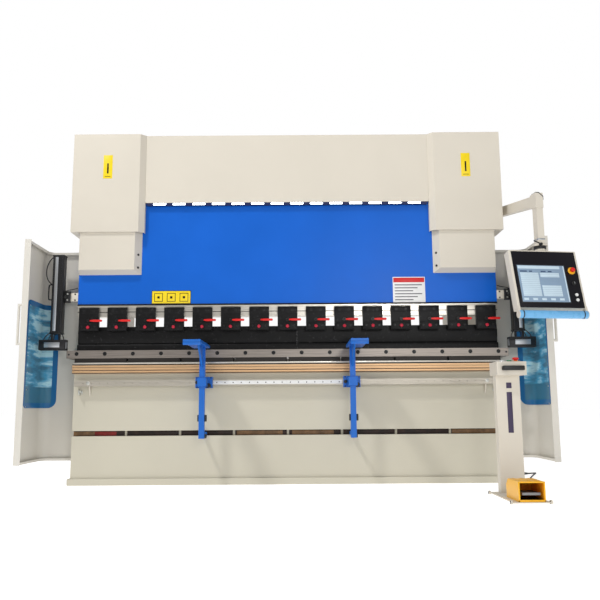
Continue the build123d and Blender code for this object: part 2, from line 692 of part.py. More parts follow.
def bent_sheet(offset, thickness, z):
    """The guard's plan: side panel, large corner and rear panel, set in by offset."""
    x1 = GUARD_X - offset
    y1 = GUARD_REAR - offset
    r1 = GUARD_R - offset
    x0 = x1 - thickness
    y0 = y1 - thickness
    r0 = r1 - thickness
    cx = GUARD_X - GUARD_R
    cy = GUARD_REAR - GUARD_R
    outer_arc = CenterArc((cx, cy), r1, 0, 90)
    inner_arc = CenterArc((cx, cy), r0, 0, 90)
    lines = [Line((x0, GUARD_FRONT), (x1, GUARD_FRONT)), Line((x1, GUARD_FRONT), (x1, cy)), outer_arc,
             Line((cx, y1), (GUARD_IN, y1)), Line((GUARD_IN, y1), (GUARD_IN, y0)),
             Line((GUARD_IN, y0), (cx, y0)), inner_arc, Line((x0, cy), (x0, GUARD_FRONT))]
    face = make_face(lines)
    return extrude(Pos(0, 0, z[0]) * face, amount=z[1] - z[0], dir=(0, 0, 1))


def window_cutter(margin):
    """The rounded opening, as a solid that cuts both panels round the corner."""
    box = block((WINDOW_X - margin, GUARD_X + 200), (WINDOW_Y - margin, GUARD_REAR + 200),
                (WINDOW_Z[0] - margin, WINDOW_Z[1] + margin))
    front = box.edges().filter_by(Axis.X).sort_by(Axis.Y)[:2]
    box = fillet(front, 40.0 + margin)
    inner = box.edges().filter_by(Axis.Y).sort_by(Axis.X)[:2]
    return fillet(inner, 40.0 + margin)


def guard_panel():
    z = GUARD_Z
    body = bent_sheet(0, GUARD_T, z) - window_cutter(0)
    body += block((GUARD_X - GUARD_FLANGE, GUARD_X), (GUARD_FRONT, GUARD_FRONT + GUARD_T), z)
    rim = GUARD_RIM - GUARD_T
    for low in (z[0], z[1] - GUARD_T):
        body += bent_sheet(GUARD_T - 0.5, rim, (low, low + GUARD_T))
    for low in KNUCKLE_Z:
        height = (low + RUN_GAP, low + KNUCKLE_H - 1)
        body += rod_z(KNUCKLE_R, PIVOT_X, PIVOT_Y, height)
        body += block((PIVOT_X, GUARD_IN + 30), (GUARD_REAR - 1, PIVOT_Y - 4), height)
        body -= rod_z(PIVOT_R + PIN_GAP, PIVOT_X, PIVOT_Y, (low - 1, low + KNUCKLE_H + 1))
    out = GUARD_X + GRIP_OUT - GRIP_R
    body += rod_z(GRIP_R, out, GRIP_Y, GRIP_Z)
    for z_end in (GRIP_Z[0] + GRIP_R, GRIP_Z[1] - GRIP_R):
        body += rod_x(GRIP_R, GRIP_Y, z_end, (GUARD_X - 1, out))
    return body


def window_panel():
    whole = bent_sheet(GUARD_T, WINDOW_T, (WINDOW_Z[0] - WINDOW_LAP, WINDOW_Z[1] + WINDOW_LAP))
    return whole & window_cutter(WINDOW_LAP)


# ---------------------------------------------------------------- pendant

BOOM_LENGTH = hypot(BOOM_ELBOW[0] - BOOM_PIVOT[0], BOOM_ELBOW[1] - BOOM_PIVOT[1])
BOOM_TURN = degrees(atan2(BOOM_ELBOW[0] - BOOM_PIVOT[0], BOOM_PIVOT[1] - BOOM_ELBOW[1]))
IN_BOOM = Pos(BOOM_PIVOT[0], BOOM_PIVOT[1], 0) * Rot(0, 0, BOOM_TURN)
DROP_PIN_R = 20.0


def pendant_boom():
    """Built with its pivot at the origin and the boom along -Y, then turned out."""
    half = BOOM_H / 2
    z = (BOOM_Z - half, BOOM_Z + half)
    slope = [(0, z[0]), (-BOOM_LEVEL, z[0]), (-BOOM_LENGTH, ELBOW_Z - half),
             (-BOOM_LENGTH, ELBOW_Z + half), (0, z[1])]
    body = prism_x(slope, span(0, BOOM_W)) + rod_z(38.0, 0, 0, z)
    elbow_z = (ELBOW_Z - half - 6, ELBOW_Z + half + 14)
    body += block(span(0, DROP_W + 8), (-BOOM_LENGTH - 34, -BOOM_LENGTH + 50), elbow_z)
    body += block(span(0, DROP_W), span(-BOOM_LENGTH, DROP_W + 14), (DROP_LOW, elbow_z[0] + 1))
    body -= rod_z(18.0 + PIN_GAP, 0, 0, (z[0] - 40, z[1] + 40))
    body += rod_z(DROP_PIN_R, 0, -BOOM_LENGTH, (DROP_LOW - 34, DROP_LOW))
    return IN_BOOM * body


def in_case():
    """The tilted case's own frame: X across, Y to the rear, Z up its face, origin at its top front edge."""
    front = -BOOM_LENGTH - CASE_AHEAD
    return IN_BOOM * Pos(CASE_SHIFT, front, CASE_TOP) * Rot(-CASE_TILT, 0, 0)


def pendant_case():
    case = block(span(0, CASE_W), (0, CASE_D), (-CASE_H, 0))
    case = fillet(case.edges().filter_by(Axis.Z), 10.0)
    recess = block(span(0, CASE_W - 2 * CASE_WALL), (-1, 4), (-CASE_H - 1, -6))
    case -= recess
    grip_z = -CASE_H - HANDLE_R - HANDLE_GAP
    case += rod_x(HANDLE_R, 14.0, grip_z, span(0, CASE_W))
    for x in (-CASE_W / 2 + EAR_W / 2, CASE_W / 2 - EAR_W / 2):
        case += block(span(x, EAR_W), (0, 30), (grip_z, -CASE_H + 12))
    placed = in_case() * case
    collar = rod_z(COLLAR_R, 0, -BOOM_LENGTH, (CASE_TOP - 60, DROP_LOW - RUN_GAP))
    collar -= rod_z(DROP_PIN_R + PIN_GAP, 0, -BOOM_LENGTH, (DROP_LOW - 35, DROP_LOW + 1))
    return placed + IN_BOOM * collar


ESTOP_AT = (CASE_W / 2 - 60.0, -150.0)
STEM_R = 11.0


def pendant_estop():
    x, z = ESTOP_AT
    head = rod_y(ESTOP_R, x, z, (-ESTOP_OUT, -ESTOP_OUT + 16))
    return in_case() * (head + rod_y(STEM_R, x, z, (-ESTOP_OUT + 16, 20.0)))


def estop_bore():
    x, z = ESTOP_AT
    return in_case() * rod_y(STEM_R + PIN_GAP, x, z, (-30.0, 30.0))


# ---------------------------------------------------------------- pedestal


def pedestal():
    body = block(COLUMN_X, COLUMN_Y, (PLATE_Z[1], HEAD_Z[0] + 1))
    head = block(HEAD_X, HEAD_Y, HEAD_Z)
    body += fillet(head.edges().filter_by(Axis.Z), 8.0)
    body += block(PLATE_X, PLATE_Y, PLATE_Z)
    beside = CASTER_W / 2 - 1.0
    for x in (PLATE_X[0] - beside, PLATE_X[1] + beside):
        for y in (PLATE_Y[0] + 22, PLATE_Y[1] - 22):
            body += rod_x(CASTER_R, y, CASTER_R, span(x, CASTER_W))
    grip_z = sum(HEAD_Z) / 2
    grip_y = HEAD_Y[0] - 30.0
    grip_x = (HEAD_X[0] + 32, HEAD_X[1] - 28)
    body += rod_x(8.0, grip_y, grip_z, grip_x)
    for x in (grip_x[0] + 8, grip_x[1] - 8):
        body += rod_y(8.0, x, grip_z, (grip_y, HEAD_Y[0] + 1))
    x, y = PED_ESTOP
    body += rod_z(26.0, x, y, (HEAD_Z[1] - 1, HEAD_Z[1] + 6))
    body -= rod_z(STEM_R + PIN_GAP, x, y, (HEAD_Z[1] - 24, HEAD_Z[1] + 7))
    for offset in (42.0, 88.0):
        body += rod_z(15.0, x - offset, y, (HEAD_Z[1] - 1, HEAD_Z[1] + 12))
    exit_x, exit_y, exit_z = CORD_POINTS[0]
    return body + rod_x(11.0, exit_y, exit_z, (COLUMN_X[1] - 1, exit_x))


def pedestal_estop():
    x, y = PED_ESTOP
    top = HEAD_Z[1] + 6
    return rod_z(21.0, x, y, (top + 10, top + 26)) + rod_z(STEM_R, x, y, (HEAD_Z[1] - 18, top + 10))


def foot_guard():
    z0 = PLATE_Z[1]
    z = (z0, z0 + HOOD_H)
    w = HOOD_WALL
    outside = [(HOOD_Y[0], z[1]), (HOOD_Y[1] - 40, z[1]), (HOOD_Y[1], z[1] - 34), (HOOD_Y[1], z0),
               (HOOD_Y[0], z0)]
    hollow = [(HOOD_Y[0] - 1, z[1] - w), (HOOD_Y[1] - 40 - w * 0.4, z[1] - w),
              (HOOD_Y[1] - w, z[1] - 34 - w * 0.4), (HOOD_Y[1] - w, z0 + 8), (HOOD_Y[0] - 1, z0 + 8)]
    body = prism_x(outside, HOOD_X) - prism_x(hollow, (HOOD_X[0] + w, HOOD_X[1] - w))
    body += rod_x(PEDAL_PIN_R, PEDAL_PIN[0], PEDAL_PIN[1], (HOOD_X[0] + w - 1, HOOD_X[1] - w + 1))
    exit_x, exit_y, exit_z = CORD_POINTS[-1]
    return body + rod_y(11.0, exit_x, exit_z, (HOOD_Y[1] - 1, exit_y))


def foot_pedal():
    wide = (HOOD_X[0] + 22, HOOD_X[1] - 22)
    y, z = PEDAL_PIN
    plate = [(y + 14, z - 9), (y + 14, z + 9), (HOOD_Y[0] + 14, z + 15), (HOOD_Y[0] + 14, z + 4)]
    return prism_x(plate, wide) - rod_x(PEDAL_PIN_R + PIN_GAP, y, z, (wide[0] - 1, wide[1] + 1))


def cord_radii():
    """Each bend as large as its two runs allow, printed for a look."""
    radii = []
    points = [Vector(*p) for p in CORD_POINTS]
    for before, here, after in zip(points, points[1:], points[2:]):
        run = min((here - before).length, (after - here).length)
        turn = (here - before).get_angle(after - here)
        radii.append(0.45 * run / tan(radians(turn) / 2))
    print("cord radii", [round(r) for r in radii])
    return radii


def pedal_cord():
    path = FilletPolyline(*CORD_POINTS, radius=cord_radii())
    section = Plane(origin=CORD_POINTS[0], z_dir=path % 0) * Circle(CORD_D / 2)
    tube = sweep(section, path=path)
    ratio = tube.volume / (section.area * path.length)
    print("cord length", round(path.length), "volume ratio", round(ratio, 4))
    return tube


# ---------------------------------------------------------------- back gauge and cabinet


def gauge_slideways():
    rear = (SLIDEWAY_REAR - 40, SLIDEWAY_REAR + 20)
    body = block((-FRAME_X, FRAME_X), rear, (SLIDEWAY_Z[0] - 60, SLIDEWAY_Z[0]))
    for x in (-SLIDEWAY_X, SLIDEWAY_X):
        body += block(span(x, SLIDEWAY_W), (BED_REAR, SLIDEWAY_REAR), SLIDEWAY_Z)
    return body


def gauge_beam():
    body = block((-GAUGE_HALF, GAUGE_HALF), GAUGE_Y, GAUGE_Z)
    for x in (-SLIDEWAY_X, SLIDEWAY_X):
        body += block(span(x, SLIDEWAY_W - 10), GAUGE_Y, (SLIDEWAY_Z[1] + RUN_GAP, GAUGE_Z[0] + 1))
    return body


def gauge_finger(x):
    low = GAUGE_Z[1] + RUN_GAP
    body = block(span(x, 90.0), GAUGE_Y, (low, FINGER_TOP))
    return body + block(span(x, 40.0), (FINGER_TIP, GAUGE_Y[0] + 1), (DIE_TOP - 6, FINGER_TOP))


def electrical_cabinet():
    x = (FRAME_OUT, FRAME_OUT + CABINET_W)
    body = block(x, CABINET_Y, CABINET_Z)
    door = []
    for inset in (20, 24):
        door.append(block((x[1] - 3, x[1] + 1), (CABINET_Y[0] + inset, CABINET_Y[1] - inset),
                          (CABINET_Z[0] + inset, CABINET_Z[1] - inset)))
    return body - (door[0] - door[1])


def main():
    os.makedirs("parts", exist_ok=True)
    for name, shape in (
        ("lower_beam", lower_beam()),
        ("beam_cap", beam_cap()),
        ("crowning_base", crowning_base()),
        ("die_rail", die_rail()),
        ("die_clamp_screws", die_clamp_screws()),
        ("dies", dies()),
        ("punches", punches()),
        ("clamp_blocks", clamp_blocks()),
        ("clamp_rail", clamp_rail()),
        ("ram", ram()),
        ("cylinders", cylinders()),
        ("front_fascia", front_fascia()),
        ("led_strip", led_strip()),
        ("upper_beam", upper_beam()),
        ("hydraulic_unit", hydraulic_unit()),
        ("support_rail", support_rail()),
        ("lifting_eyes", lifting_eyes()),
        ("gauge_slideways", gauge_slideways()),
        ("gauge_beam", gauge_beam()),
        ("electrical_cabinet", electrical_cabinet()),
        ("pendant_boom", pendant_boom()),
        ("pendant_case", pendant_case() - estop_bore()),
        ("pendant_estop", pendant_estop()),
        ("pedestal", pedestal()),
        ("pedestal_estop", pedestal_estop()),
        ("foot_guard", foot_guard()),
        ("foot_pedal", foot_pedal()),
        ("pedal_cord", pedal_cord()),
    ):
        save(shape, name)
    pairs = (("rod_covers", rod_cover()), ("piston_rods", piston_rod()), ("laser_guards", laser_guard()))
    for name, shape in pairs:
        save(group([for_side(shape, -1), shape]), name)
    for side, sign in SIDES:
        frame = for_side(side_frame(), sign)
        save(frame + boom_bracket() if sign > 0 else frame, f"side_frame_{side}")
        save(for_side(cylinder_cover(), sign), f"cylinder_cover_{side}")
        save(for_side(guard_panel(), sign), f"guard_{side}")
        save(for_side(window_panel(), sign), f"window_{side}")
        save(support_carriage(POST_X[side]), f"support_carriage_{side}")
        save(support_arm(POST_X[side], sign), f"support_arm_{side}")
        save(gauge_finger(sign * FINGER_X), f"gauge_finger_{side}")
    for number, x in enumerate(CLAMP_X, start=1):
        save(clamp_lever(x), f"clamp_lever_{number:02d}")


main()
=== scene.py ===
import logging
import math
from dataclasses import dataclass, field
from enum import Enum

import bmesh
import bpy
from mathutils import Matrix, Vector


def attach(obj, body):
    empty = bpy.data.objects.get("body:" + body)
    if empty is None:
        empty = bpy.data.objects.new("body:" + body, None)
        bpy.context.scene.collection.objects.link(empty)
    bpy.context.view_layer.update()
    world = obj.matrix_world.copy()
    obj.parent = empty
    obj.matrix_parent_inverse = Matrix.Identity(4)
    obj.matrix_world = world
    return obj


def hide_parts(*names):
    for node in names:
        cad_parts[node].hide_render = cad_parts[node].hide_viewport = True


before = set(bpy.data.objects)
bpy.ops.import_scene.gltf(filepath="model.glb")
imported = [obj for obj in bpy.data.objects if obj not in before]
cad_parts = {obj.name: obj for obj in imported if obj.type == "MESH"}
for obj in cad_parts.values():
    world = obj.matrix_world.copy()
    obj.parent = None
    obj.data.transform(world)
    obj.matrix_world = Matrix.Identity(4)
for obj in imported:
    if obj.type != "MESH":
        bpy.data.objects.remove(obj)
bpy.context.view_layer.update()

LOG = logging.getLogger("press_brake")
MM = 0.001
Color = tuple[float, float, float]
Pair = tuple[float, float]
Point = tuple[float, float, float]
Tree = bpy.types.NodeTree
Socket = bpy.types.NodeSocket
FRONT: Point = (0, -1, 0)
BACK: Point = (0, 1, 0)
RIGHT: Point = (1, 0, 0)
UP: Point = (0, 0, 1)
UPRIGHT = Matrix.Rotation(math.pi / 2, 4, "X")
FINE_STEPS = 36
WELD_REACH = 0.00002
FLAT_ANGLE = math.radians(0.5)
SOFT_ANGLE = math.radians(40)
SHARP_ANGLE = math.radians(38)
BAR_ENDS: Pair = (-1599.0, 1599.0)
RAIL_FACE = -156.0
LID_TOP = 2667.5
ROUGHNESS_SWING = 0.07
BUMP_STRENGTH = 0.35


class Grain(Enum):
    """How the surface of a finish is broken up."""

    PEEL = "sprayed paint with a faint orange peel"
    BRUSHED = "metal with fine streaks along X"
    OXIDE = "blackened steel with handling marks"
    MOULDED = "plastic with a fine moulded texture"
    CAST = "rough casting or rubber"


@dataclass(frozen=True)
class Finish:
    """One surface finish, made as a node material on first use.

    Args:
        slot: The record's material slot.
        color: Base colour, linear.
        grain: How the surface is broken up.
        roughness: Middle of the roughness range.
        metallic: 1 for bare metal.
        spread: Share by which the colour wanders.
        relief: Height of the grain in millimetres.
        shade: Name of a second colour in the same slot.
        gloss: Specular level.
    """

    slot: str
    color: Color
    grain: Grain = Grain.PEEL
    roughness: float = 0.4
    metallic: float = 0.0
    spread: float = 0.03
    relief: float = 0.03
    shade: str = ""
    gloss: float = 0.4

    @property
    def name(self) -> str:
        """The material's name."""
        return f"{self.slot}_{self.shade}" if self.shade else self.slot

    def material(self) -> bpy.types.Material:
        """Makes the node material once.

        Returns:
            The material for this finish.
        """
        found = bpy.data.materials.get("finish_" + self.name)
        if found:
            return found
        made = bpy.data.materials.new("finish_" + self.name)
        made.use_nodes = True
        made.diffuse_color = (*self.color, 1.0)
        tree = made.node_tree
        shader = tree.nodes["Principled BSDF"]
        shader.inputs["Metallic"].default_value = self.metallic
        shader.inputs["Specular IOR Level"].default_value = self.gloss
        if self.grain is Grain.BRUSHED:
            shader.inputs["Anisotropic"].default_value = 0.4
        self.dress(tree, shader)
        return made

    def dress(self, tree: Tree, shader: bpy.types.Node) -> None:
        """Adds the colour, roughness and relief nodes.

        Args:
            tree: The material's node tree.
            shader: Its Principled shader.
        """
        stretch, broad, fine = {
            Grain.PEEL: ((1, 1, 1), 2.2, 650.0),
            Grain.BRUSHED: ((0.6, 30, 30), 9.0, 40.0),
            Grain.OXIDE: ((1, 1, 1), 14.0, 420.0),
            Grain.MOULDED: ((1, 1, 1), 18.0, 1100.0),
            Grain.CAST: ((1, 1, 1), 26.0, 520.0),
        }[self.grain]
        place = node(tree, "ShaderNodeTexCoord").outputs["Object"]
        mapping = node(tree, "ShaderNodeMapping", Scale=stretch)
        tree.links.new(place, mapping.inputs["Vector"])
        wander = noise(tree, mapping.outputs["Vector"], broad, 4.0)
        grain = noise(tree, mapping.outputs["Vector"], fine, 2.0)
        low = tuple(c * (1 - self.spread) for c in self.color)
        high = tuple(min(1.0, c * (1 + self.spread)) for c in self.color)
        color = ramp(tree, wander, ((0.3, low), (0.7, high)))
        if self.grain is Grain.OXIDE:
            marks = noise(tree, place, 60.0, 6.0)
            worn = tuple(min(1.0, c * 3.0 + 0.015) for c in self.color)
            mask = ramp(tree, marks, ((0.62, (0, 0, 0)), (0.72, (1, 1, 1))))
            color = blend_color(tree, mask, color, worn)
        tree.links.new(color, shader.inputs["Base Color"])
        span = node(tree, "ShaderNodeMapRange", To_Min=max(0.05, self.roughness - ROUGHNESS_SWING),
                    To_Max=min(1.0, self.roughness + ROUGHNESS_SWING))
        tree.links.new(wander, span.inputs["Value"])
        tree.links.new(span.outputs["Result"], shader.inputs["Roughness"])
        bump = node(tree, "ShaderNodeBump", Strength=BUMP_STRENGTH, Distance=self.relief * MM)
        tree.links.new(grain, bump.inputs["Height"])
        tree.links.new(bump.outputs["Normal"], shader.inputs["Normal"])


@dataclass(frozen=True)
class LitFinish(Finish):
    """A lit surface.

    Args:
        strength: Emission strength.
    """

    strength: float = 1.0

    def dress(self, tree: Tree, shader: bpy.types.Node) -> None:
        """Adds an even glow over the usual grain.

        Args:
            tree: The material's node tree.
            shader: Its Principled shader.
        """
        super().dress(tree, shader)
        shader.inputs["Emission Color"].default_value = (*self.color, 1.0)
        shader.inputs["Emission Strength"].default_value = self.strength


@dataclass(frozen=True)
class WindowFinish(Finish):
    """Tinted acrylic with a printed border, its pane mottled with painted reflections.

    Args:
        border: Colour of the printed border.
        height: Lowest and highest edge of the clear pane, metres.
        front: Front edge of the pane on the side panel, metres.
        inner: Inner edge of the pane on the rear panel, metres from the middle.
        margin: Width of the border, metres.
        plain: Height below which the pane is a plain darker tint, without the painted reflections, metres.
    """

    border: Color = (0.02, 0.14, 0.34)
    height: Pair = (0.581, 1.325)
    front: float = -0.290
    inner: float = 1.795
    margin: float = 0.016
    plain: float = 0.715

    def dress(self, tree: Tree, shader: bpy.types.Node) -> None:
        """Adds the tint mottled with painted reflections, the border and some see-through.

        Args:
            tree: The material's node tree.
            shader: Its Principled shader.
        """
        place = node(tree, "ShaderNodeTexCoord").outputs["Object"]
        mapping = node(tree, "ShaderNodeMapping", Scale=(0.5, 0.5, 2.2))
        tree.links.new(place, mapping.inputs["Vector"])
        # Pale and deep blotches of tint: painted reflections on the pane.
        reflection_blotch = noise(tree, mapping.outputs["Vector"], 8.0, 9.0)
        pale = (0.50, 0.82, 0.92)
        deep = tuple(c * 0.5 for c in self.color)
        tint = ramp(tree, reflection_blotch, ((0.38, deep), (0.50, self.color), (0.60, pale)))
        parts = node(tree, "ShaderNodeSeparateXYZ")
        tree.links.new(place, parts.inputs["Vector"])
        # Below the plain height the pane is a plain darker tint.
        plain = math_node(tree, "LESS_THAN", parts.outputs["Z"], self.plain)
        tint = blend_color(tree, plain, tint, deep)
        side = math_node(tree, "ABSOLUTE", parts.outputs["X"])
        near = [
            math_node(tree, "LESS_THAN", parts.outputs["Z"], self.height[0] + self.margin),
            math_node(tree, "GREATER_THAN", parts.outputs["Z"], self.height[1] - self.margin),
            math_node(tree, "LESS_THAN", parts.outputs["Y"], self.front + self.margin),
            math_node(tree, "LESS_THAN", side, self.inner + self.margin),
        ]
        edge = near[0]
        for other in near[1:]:
            edge = math_node(tree, "MAXIMUM", edge, other)
        tree.links.new(blend_color(tree, edge, tint, self.border), shader.inputs["Base Color"])
        clear = node(tree, "ShaderNodeMapRange", To_Min=0.86, To_Max=1.0)
        tree.links.new(edge, clear.inputs["Value"])
        tree.links.new(clear.outputs["Result"], shader.inputs["Alpha"])
        shader.inputs["Roughness"].default_value = 0.12


def node(tree: Tree, kind: str, **values: float | Point) -> bpy.types.Node:
    """Adds one shader node.

    Args:
        tree: The material's node tree.
        kind: Blender's name for it.
        values: Its fixed inputs, with underscores for spaces.

    Returns:
        The node.
    """
    made = tree.nodes.new(kind)
    for name, value in values.items():
        made.inputs[name.replace("_", " ")].default_value = value
    return made


def noise(tree: Tree, vector: Socket, scale: float, detail: float) -> Socket:
    """Adds a noise texture.

    Args:
        tree: The material's node tree.
        vector: Where the noise is read.
        scale: Features per metre, roughly.
        detail: Octaves.

    Returns:
        The noise's value.
    """
    made = node(tree, "ShaderNodeTexNoise", Scale=scale, Detail=detail)
    tree.links.new(vector, made.inputs["Vector"])
    return made.outputs["Fac"]


def ramp(tree: Tree, value: Socket, stops: tuple[tuple[float, Color], ...]) -> Socket:
    """Turns a value into a colour.

    Args:
        tree: The material's node tree.
        value: What is turned.
        stops: Positions and their colours, in order.

    Returns:
        The colour.
    """
    made = node(tree, "ShaderNodeValToRGB")
    elements = made.color_ramp.elements
    while len(elements) < len(stops):
        elements.new(0.5)
    for element, (position, color) in zip(elements, stops):
        element.position = position
        element.color = (*color, 1.0)
    tree.links.new(value, made.inputs["Fac"])
    return made.outputs["Color"]


def blend_color(tree: Tree, share: Socket, first: Socket, second: Color) -> Socket:
    """Mixes a colour towards a fixed one.

    Args:
        tree: The material's node tree.
        share: 0 for the first, 1 for the second.
        first: The colour to start from.
        second: The fixed colour.

    Returns:
        The mixed colour.
    """
    made = node(tree, "ShaderNodeMix")
    made.data_type = "RGBA"
    tree.links.new(share, made.inputs[0])
    tree.links.new(first, made.inputs[6])
    made.inputs[7].default_value = (*second, 1.0)
    return made.outputs[2]


def math_node(tree: Tree, operation: str, first: Socket, second: float | Socket = 0.0) -> Socket:
    """Adds one sum or comparison.

    Args:
        tree: The material's node tree.
        operation: Blender's name for it.
        first: First value.
        second: Second value, a number or a socket.

    Returns:
        The result.
    """
    made = node(tree, "ShaderNodeMath")
    made.operation = operation
    tree.links.new(first, made.inputs[0])
    if isinstance(second, float):
        made.inputs[1].default_value = second
    else:
        tree.links.new(second, made.inputs[1])
    return made.outputs[0]


FRAME_PAINT = Finish("frame_paint", (0.66, 0.61, 0.52), roughness=0.45, spread=0.02)
# Darker copy of the frame paint for the lower beam: painted shade, as the beam gets less light from above.
SHADED_BED_PAINT = Finish("frame_paint", (0.55, 0.515, 0.415), roughness=0.45, spread=0.025, shade="bed")
# Cooler, greyer copy of the frame paint for the guards: painted shade and painted blue reflection on their panels.
SHADED_GUARD_PAINT = Finish("frame_paint", (0.67, 0.64, 0.575), roughness=0.40, spread=0.02, shade="guard")
TANK_PAINT = Finish("tank_paint", (0.60, 0.56, 0.48), roughness=0.45)
RAM_BLUE = Finish("ram_blue", (0.004, 0.112, 0.55), roughness=0.36, spread=0.06, gloss=0.22)
SUPPORT_BLUE = Finish("support_blue", (0.010, 0.125, 0.50), roughness=0.34, gloss=0.35)
BRONZE = Finish("bronze_strip", (0.66, 0.42, 0.23), Grain.BRUSHED, 0.38, 0.7, spread=0.14)
GROUND_STEEL = Finish("ground_steel", (0.66, 0.62, 0.55), Grain.BRUSHED, 0.30, 0.9, spread=0.14)
RAIL_STEEL = Finish("ground_steel", (0.29, 0.255, 0.225), Grain.BRUSHED, 0.34, 0.8, spread=0.18, shade="rail")
GUIDE_STEEL = Finish("ground_steel", (0.50, 0.46, 0.39), Grain.BRUSHED, 0.36, 0.8, spread=0.18, shade="guide")
DARK_STEEL = Finish("dark_steel", (0.035, 0.030, 0.027), Grain.BRUSHED, 0.45, 0.5, spread=0.3)
CYLINDER_GREY = Finish("cylinder_steel", (0.30, 0.31, 0.33), roughness=0.4)
TOOL_BLACK = Finish("tool_black", (0.0060, 0.0058, 0.0060), Grain.OXIDE, 0.40, spread=0.3, gloss=0.18)
SCREW_BLACK = Finish("black_screw", (0.010, 0.010, 0.010), Grain.OXIDE, 0.34, 0.2, gloss=0.4)
ZINC = Finish("zinc_steel", (0.60, 0.60, 0.56), Grain.CAST, 0.34, 0.9)
CHROME = Finish("chromed_rod", (0.80, 0.80, 0.80), Grain.BRUSHED, 0.12, 1.0, relief=0.004)
LASER_BLACK = Finish("laser_black", (0.012, 0.012, 0.013), Grain.MOULDED, 0.36)
LASER_SILVER = Finish("laser_silver", (0.50, 0.52, 0.54), Grain.BRUSHED, 0.34, 0.85)
# The window's tint is mottled with painted reflections.
WINDOW_WITH_REFLECTIONS = WindowFinish("blue_window", (0.055, 0.36, 0.60), Grain.MOULDED, 0.12)
LED_HOUSING = Finish("led_lens", (0.010, 0.016, 0.075), Grain.MOULDED, 0.35, shade="housing")
LED_LENS = LitFinish("led_lens", (0.80, 0.90, 1.0), Grain.MOULDED, 0.4, strength=9.0)
LEVER_RED = Finish("lever_red", (0.68, 0.010, 0.008), Grain.MOULDED, 0.34)
KNOB_RED = Finish("lever_red", (0.46, 0.006, 0.030), Grain.MOULDED, 0.34, shade="knob")
CASE_BLACK = Finish("pendant_black", (0.007, 0.006, 0.009), Grain.MOULDED, 0.36, gloss=0.2)
SCREEN = LitFinish("screen_glass", (0.22, 0.31, 0.42), Grain.MOULDED, 0.2, strength=0.1)
SCREEN_DARK = LitFinish("screen_glass", (0.045, 0.08, 0.15), Grain.MOULDED, 0.2, strength=0.1, shade="dark")
SCREEN_GREY = LitFinish("screen_glass", (0.30, 0.40, 0.50), Grain.MOULDED, 0.2, strength=0.1, shade="grey")
SCREEN_PALE = LitFinish("screen_glass", (0.50, 0.62, 0.70), Grain.MOULDED, 0.2, strength=0.12, shade="pale")
HANDLE_BLUE = Finish("handle_blue", (0.15, 0.42, 0.72), Grain.MOULDED, 0.28)
STOP_RED = Finish("estop_red", (0.70, 0.012, 0.010), Grain.MOULDED, 0.28)
STOP_YELLOW = Finish("estop_yellow", (0.86, 0.42, 0.012), Grain.MOULDED, 0.32)
BUTTON_GREEN = Finish("button_green", (0.012, 0.24, 0.08), Grain.MOULDED, 0.28)
BUTTON_WHITE = Finish("button_white", (0.74, 0.74, 0.72), Grain.MOULDED, 0.3)
BLACK_PLASTIC = Finish("black_plastic", (0.012, 0.012, 0.012), Grain.MOULDED, 0.42)
HOOD_YELLOW = Finish("hood_yellow", (0.90, 0.46, 0.012), Grain.MOULDED, 0.34)
# Brighter orange copy of the hood colour for its inside: painted light on a surface that lies in shade.
LIT_HOOD_INSIDE = Finish("hood_yellow", (0.95, 0.36, 0.012), Grain.MOULDED, 0.5, shade="inside")
PEDAL_GREY = Finish("pedal_grey", (0.24, 0.24, 0.245), Grain.CAST, 0.45, 0.5)
CORD_GREY = Finish("cord_grey", (0.075, 0.078, 0.085), Grain.CAST, 0.5)
PLATE_YELLOW = Finish("plate_yellow", (0.86, 0.64, 0.010), Grain.MOULDED, 0.4)
PLATE_WHITE = Finish("plate_white", (0.80, 0.80, 0.79), Grain.MOULDED, 0.4)
PLATE_RED = Finish("plate_white", (0.60, 0.02, 0.02), Grain.MOULDED, 0.4, shade="red")
PLATE_GREY = Finish("plate_white", (0.16, 0.16, 0.17), Grain.MOULDED, 0.4, shade="grey")
STRIPE = Finish("plate_white", (0.045, 0.030, 0.075), Grain.MOULDED, 0.4, shade="stripe")
ALUMINIUM = Finish("aluminium_beam", (0.62, 0.63, 0.64), Grain.BRUSHED, 0.32, 0.9)
# Painted shade for the inside of the slit and the bronze bar's grooves; below it, painted brown and red reflections
# seen in the slit.
SLIT_SHADE = Finish("dark_steel", (0.022, 0.010, 0.007), Grain.CAST, 0.45, 0.2, spread=0.6, shade="slit")
SLIT_BROWN_REFLECTION = Finish("dark_steel", (0.20, 0.11, 0.05), Grain.CAST, 0.5, spread=0.4, shade="slit_brown_reflection")
SLIT_RED_REFLECTION = Finish("dark_steel", (0.22, 0.012, 0.010), Grain.CAST, 0.5, spread=0.4, shade="slit_red_reflection")


def dress(name: str, finish: Finish, edge: float = 1.2) -> None:
    """Gives a CAD node its finish and softens its edges.

    Args:
        name: The CAD node.
        finish: Its finish.
        edge: Width of the softened edge in millimetres.
    """
    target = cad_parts[name]
    target.data.materials.clear()
    target.data.materials.append(finish.material())
    weld = target.modifiers.new("weld", "WELD")
    weld.merge_threshold = WELD_REACH
    flat = target.modifiers.new("flat", "DECIMATE")
    flat.decimate_type = "DISSOLVE"
    flat.angle_limit = FLAT_ANGLE
    soft = target.modifiers.new("soft_edge", "BEVEL")
    soft.width = edge * MM
    soft.segments = 2
    soft.limit_method = "ANGLE"
    soft.angle_limit = SOFT_ANGLE
    shade = target.modifiers.new("shade", "WEIGHTED_NORMAL")
    shade.keep_sharp = False
    LOG.info("dressed %s in %s", name, finish.name)


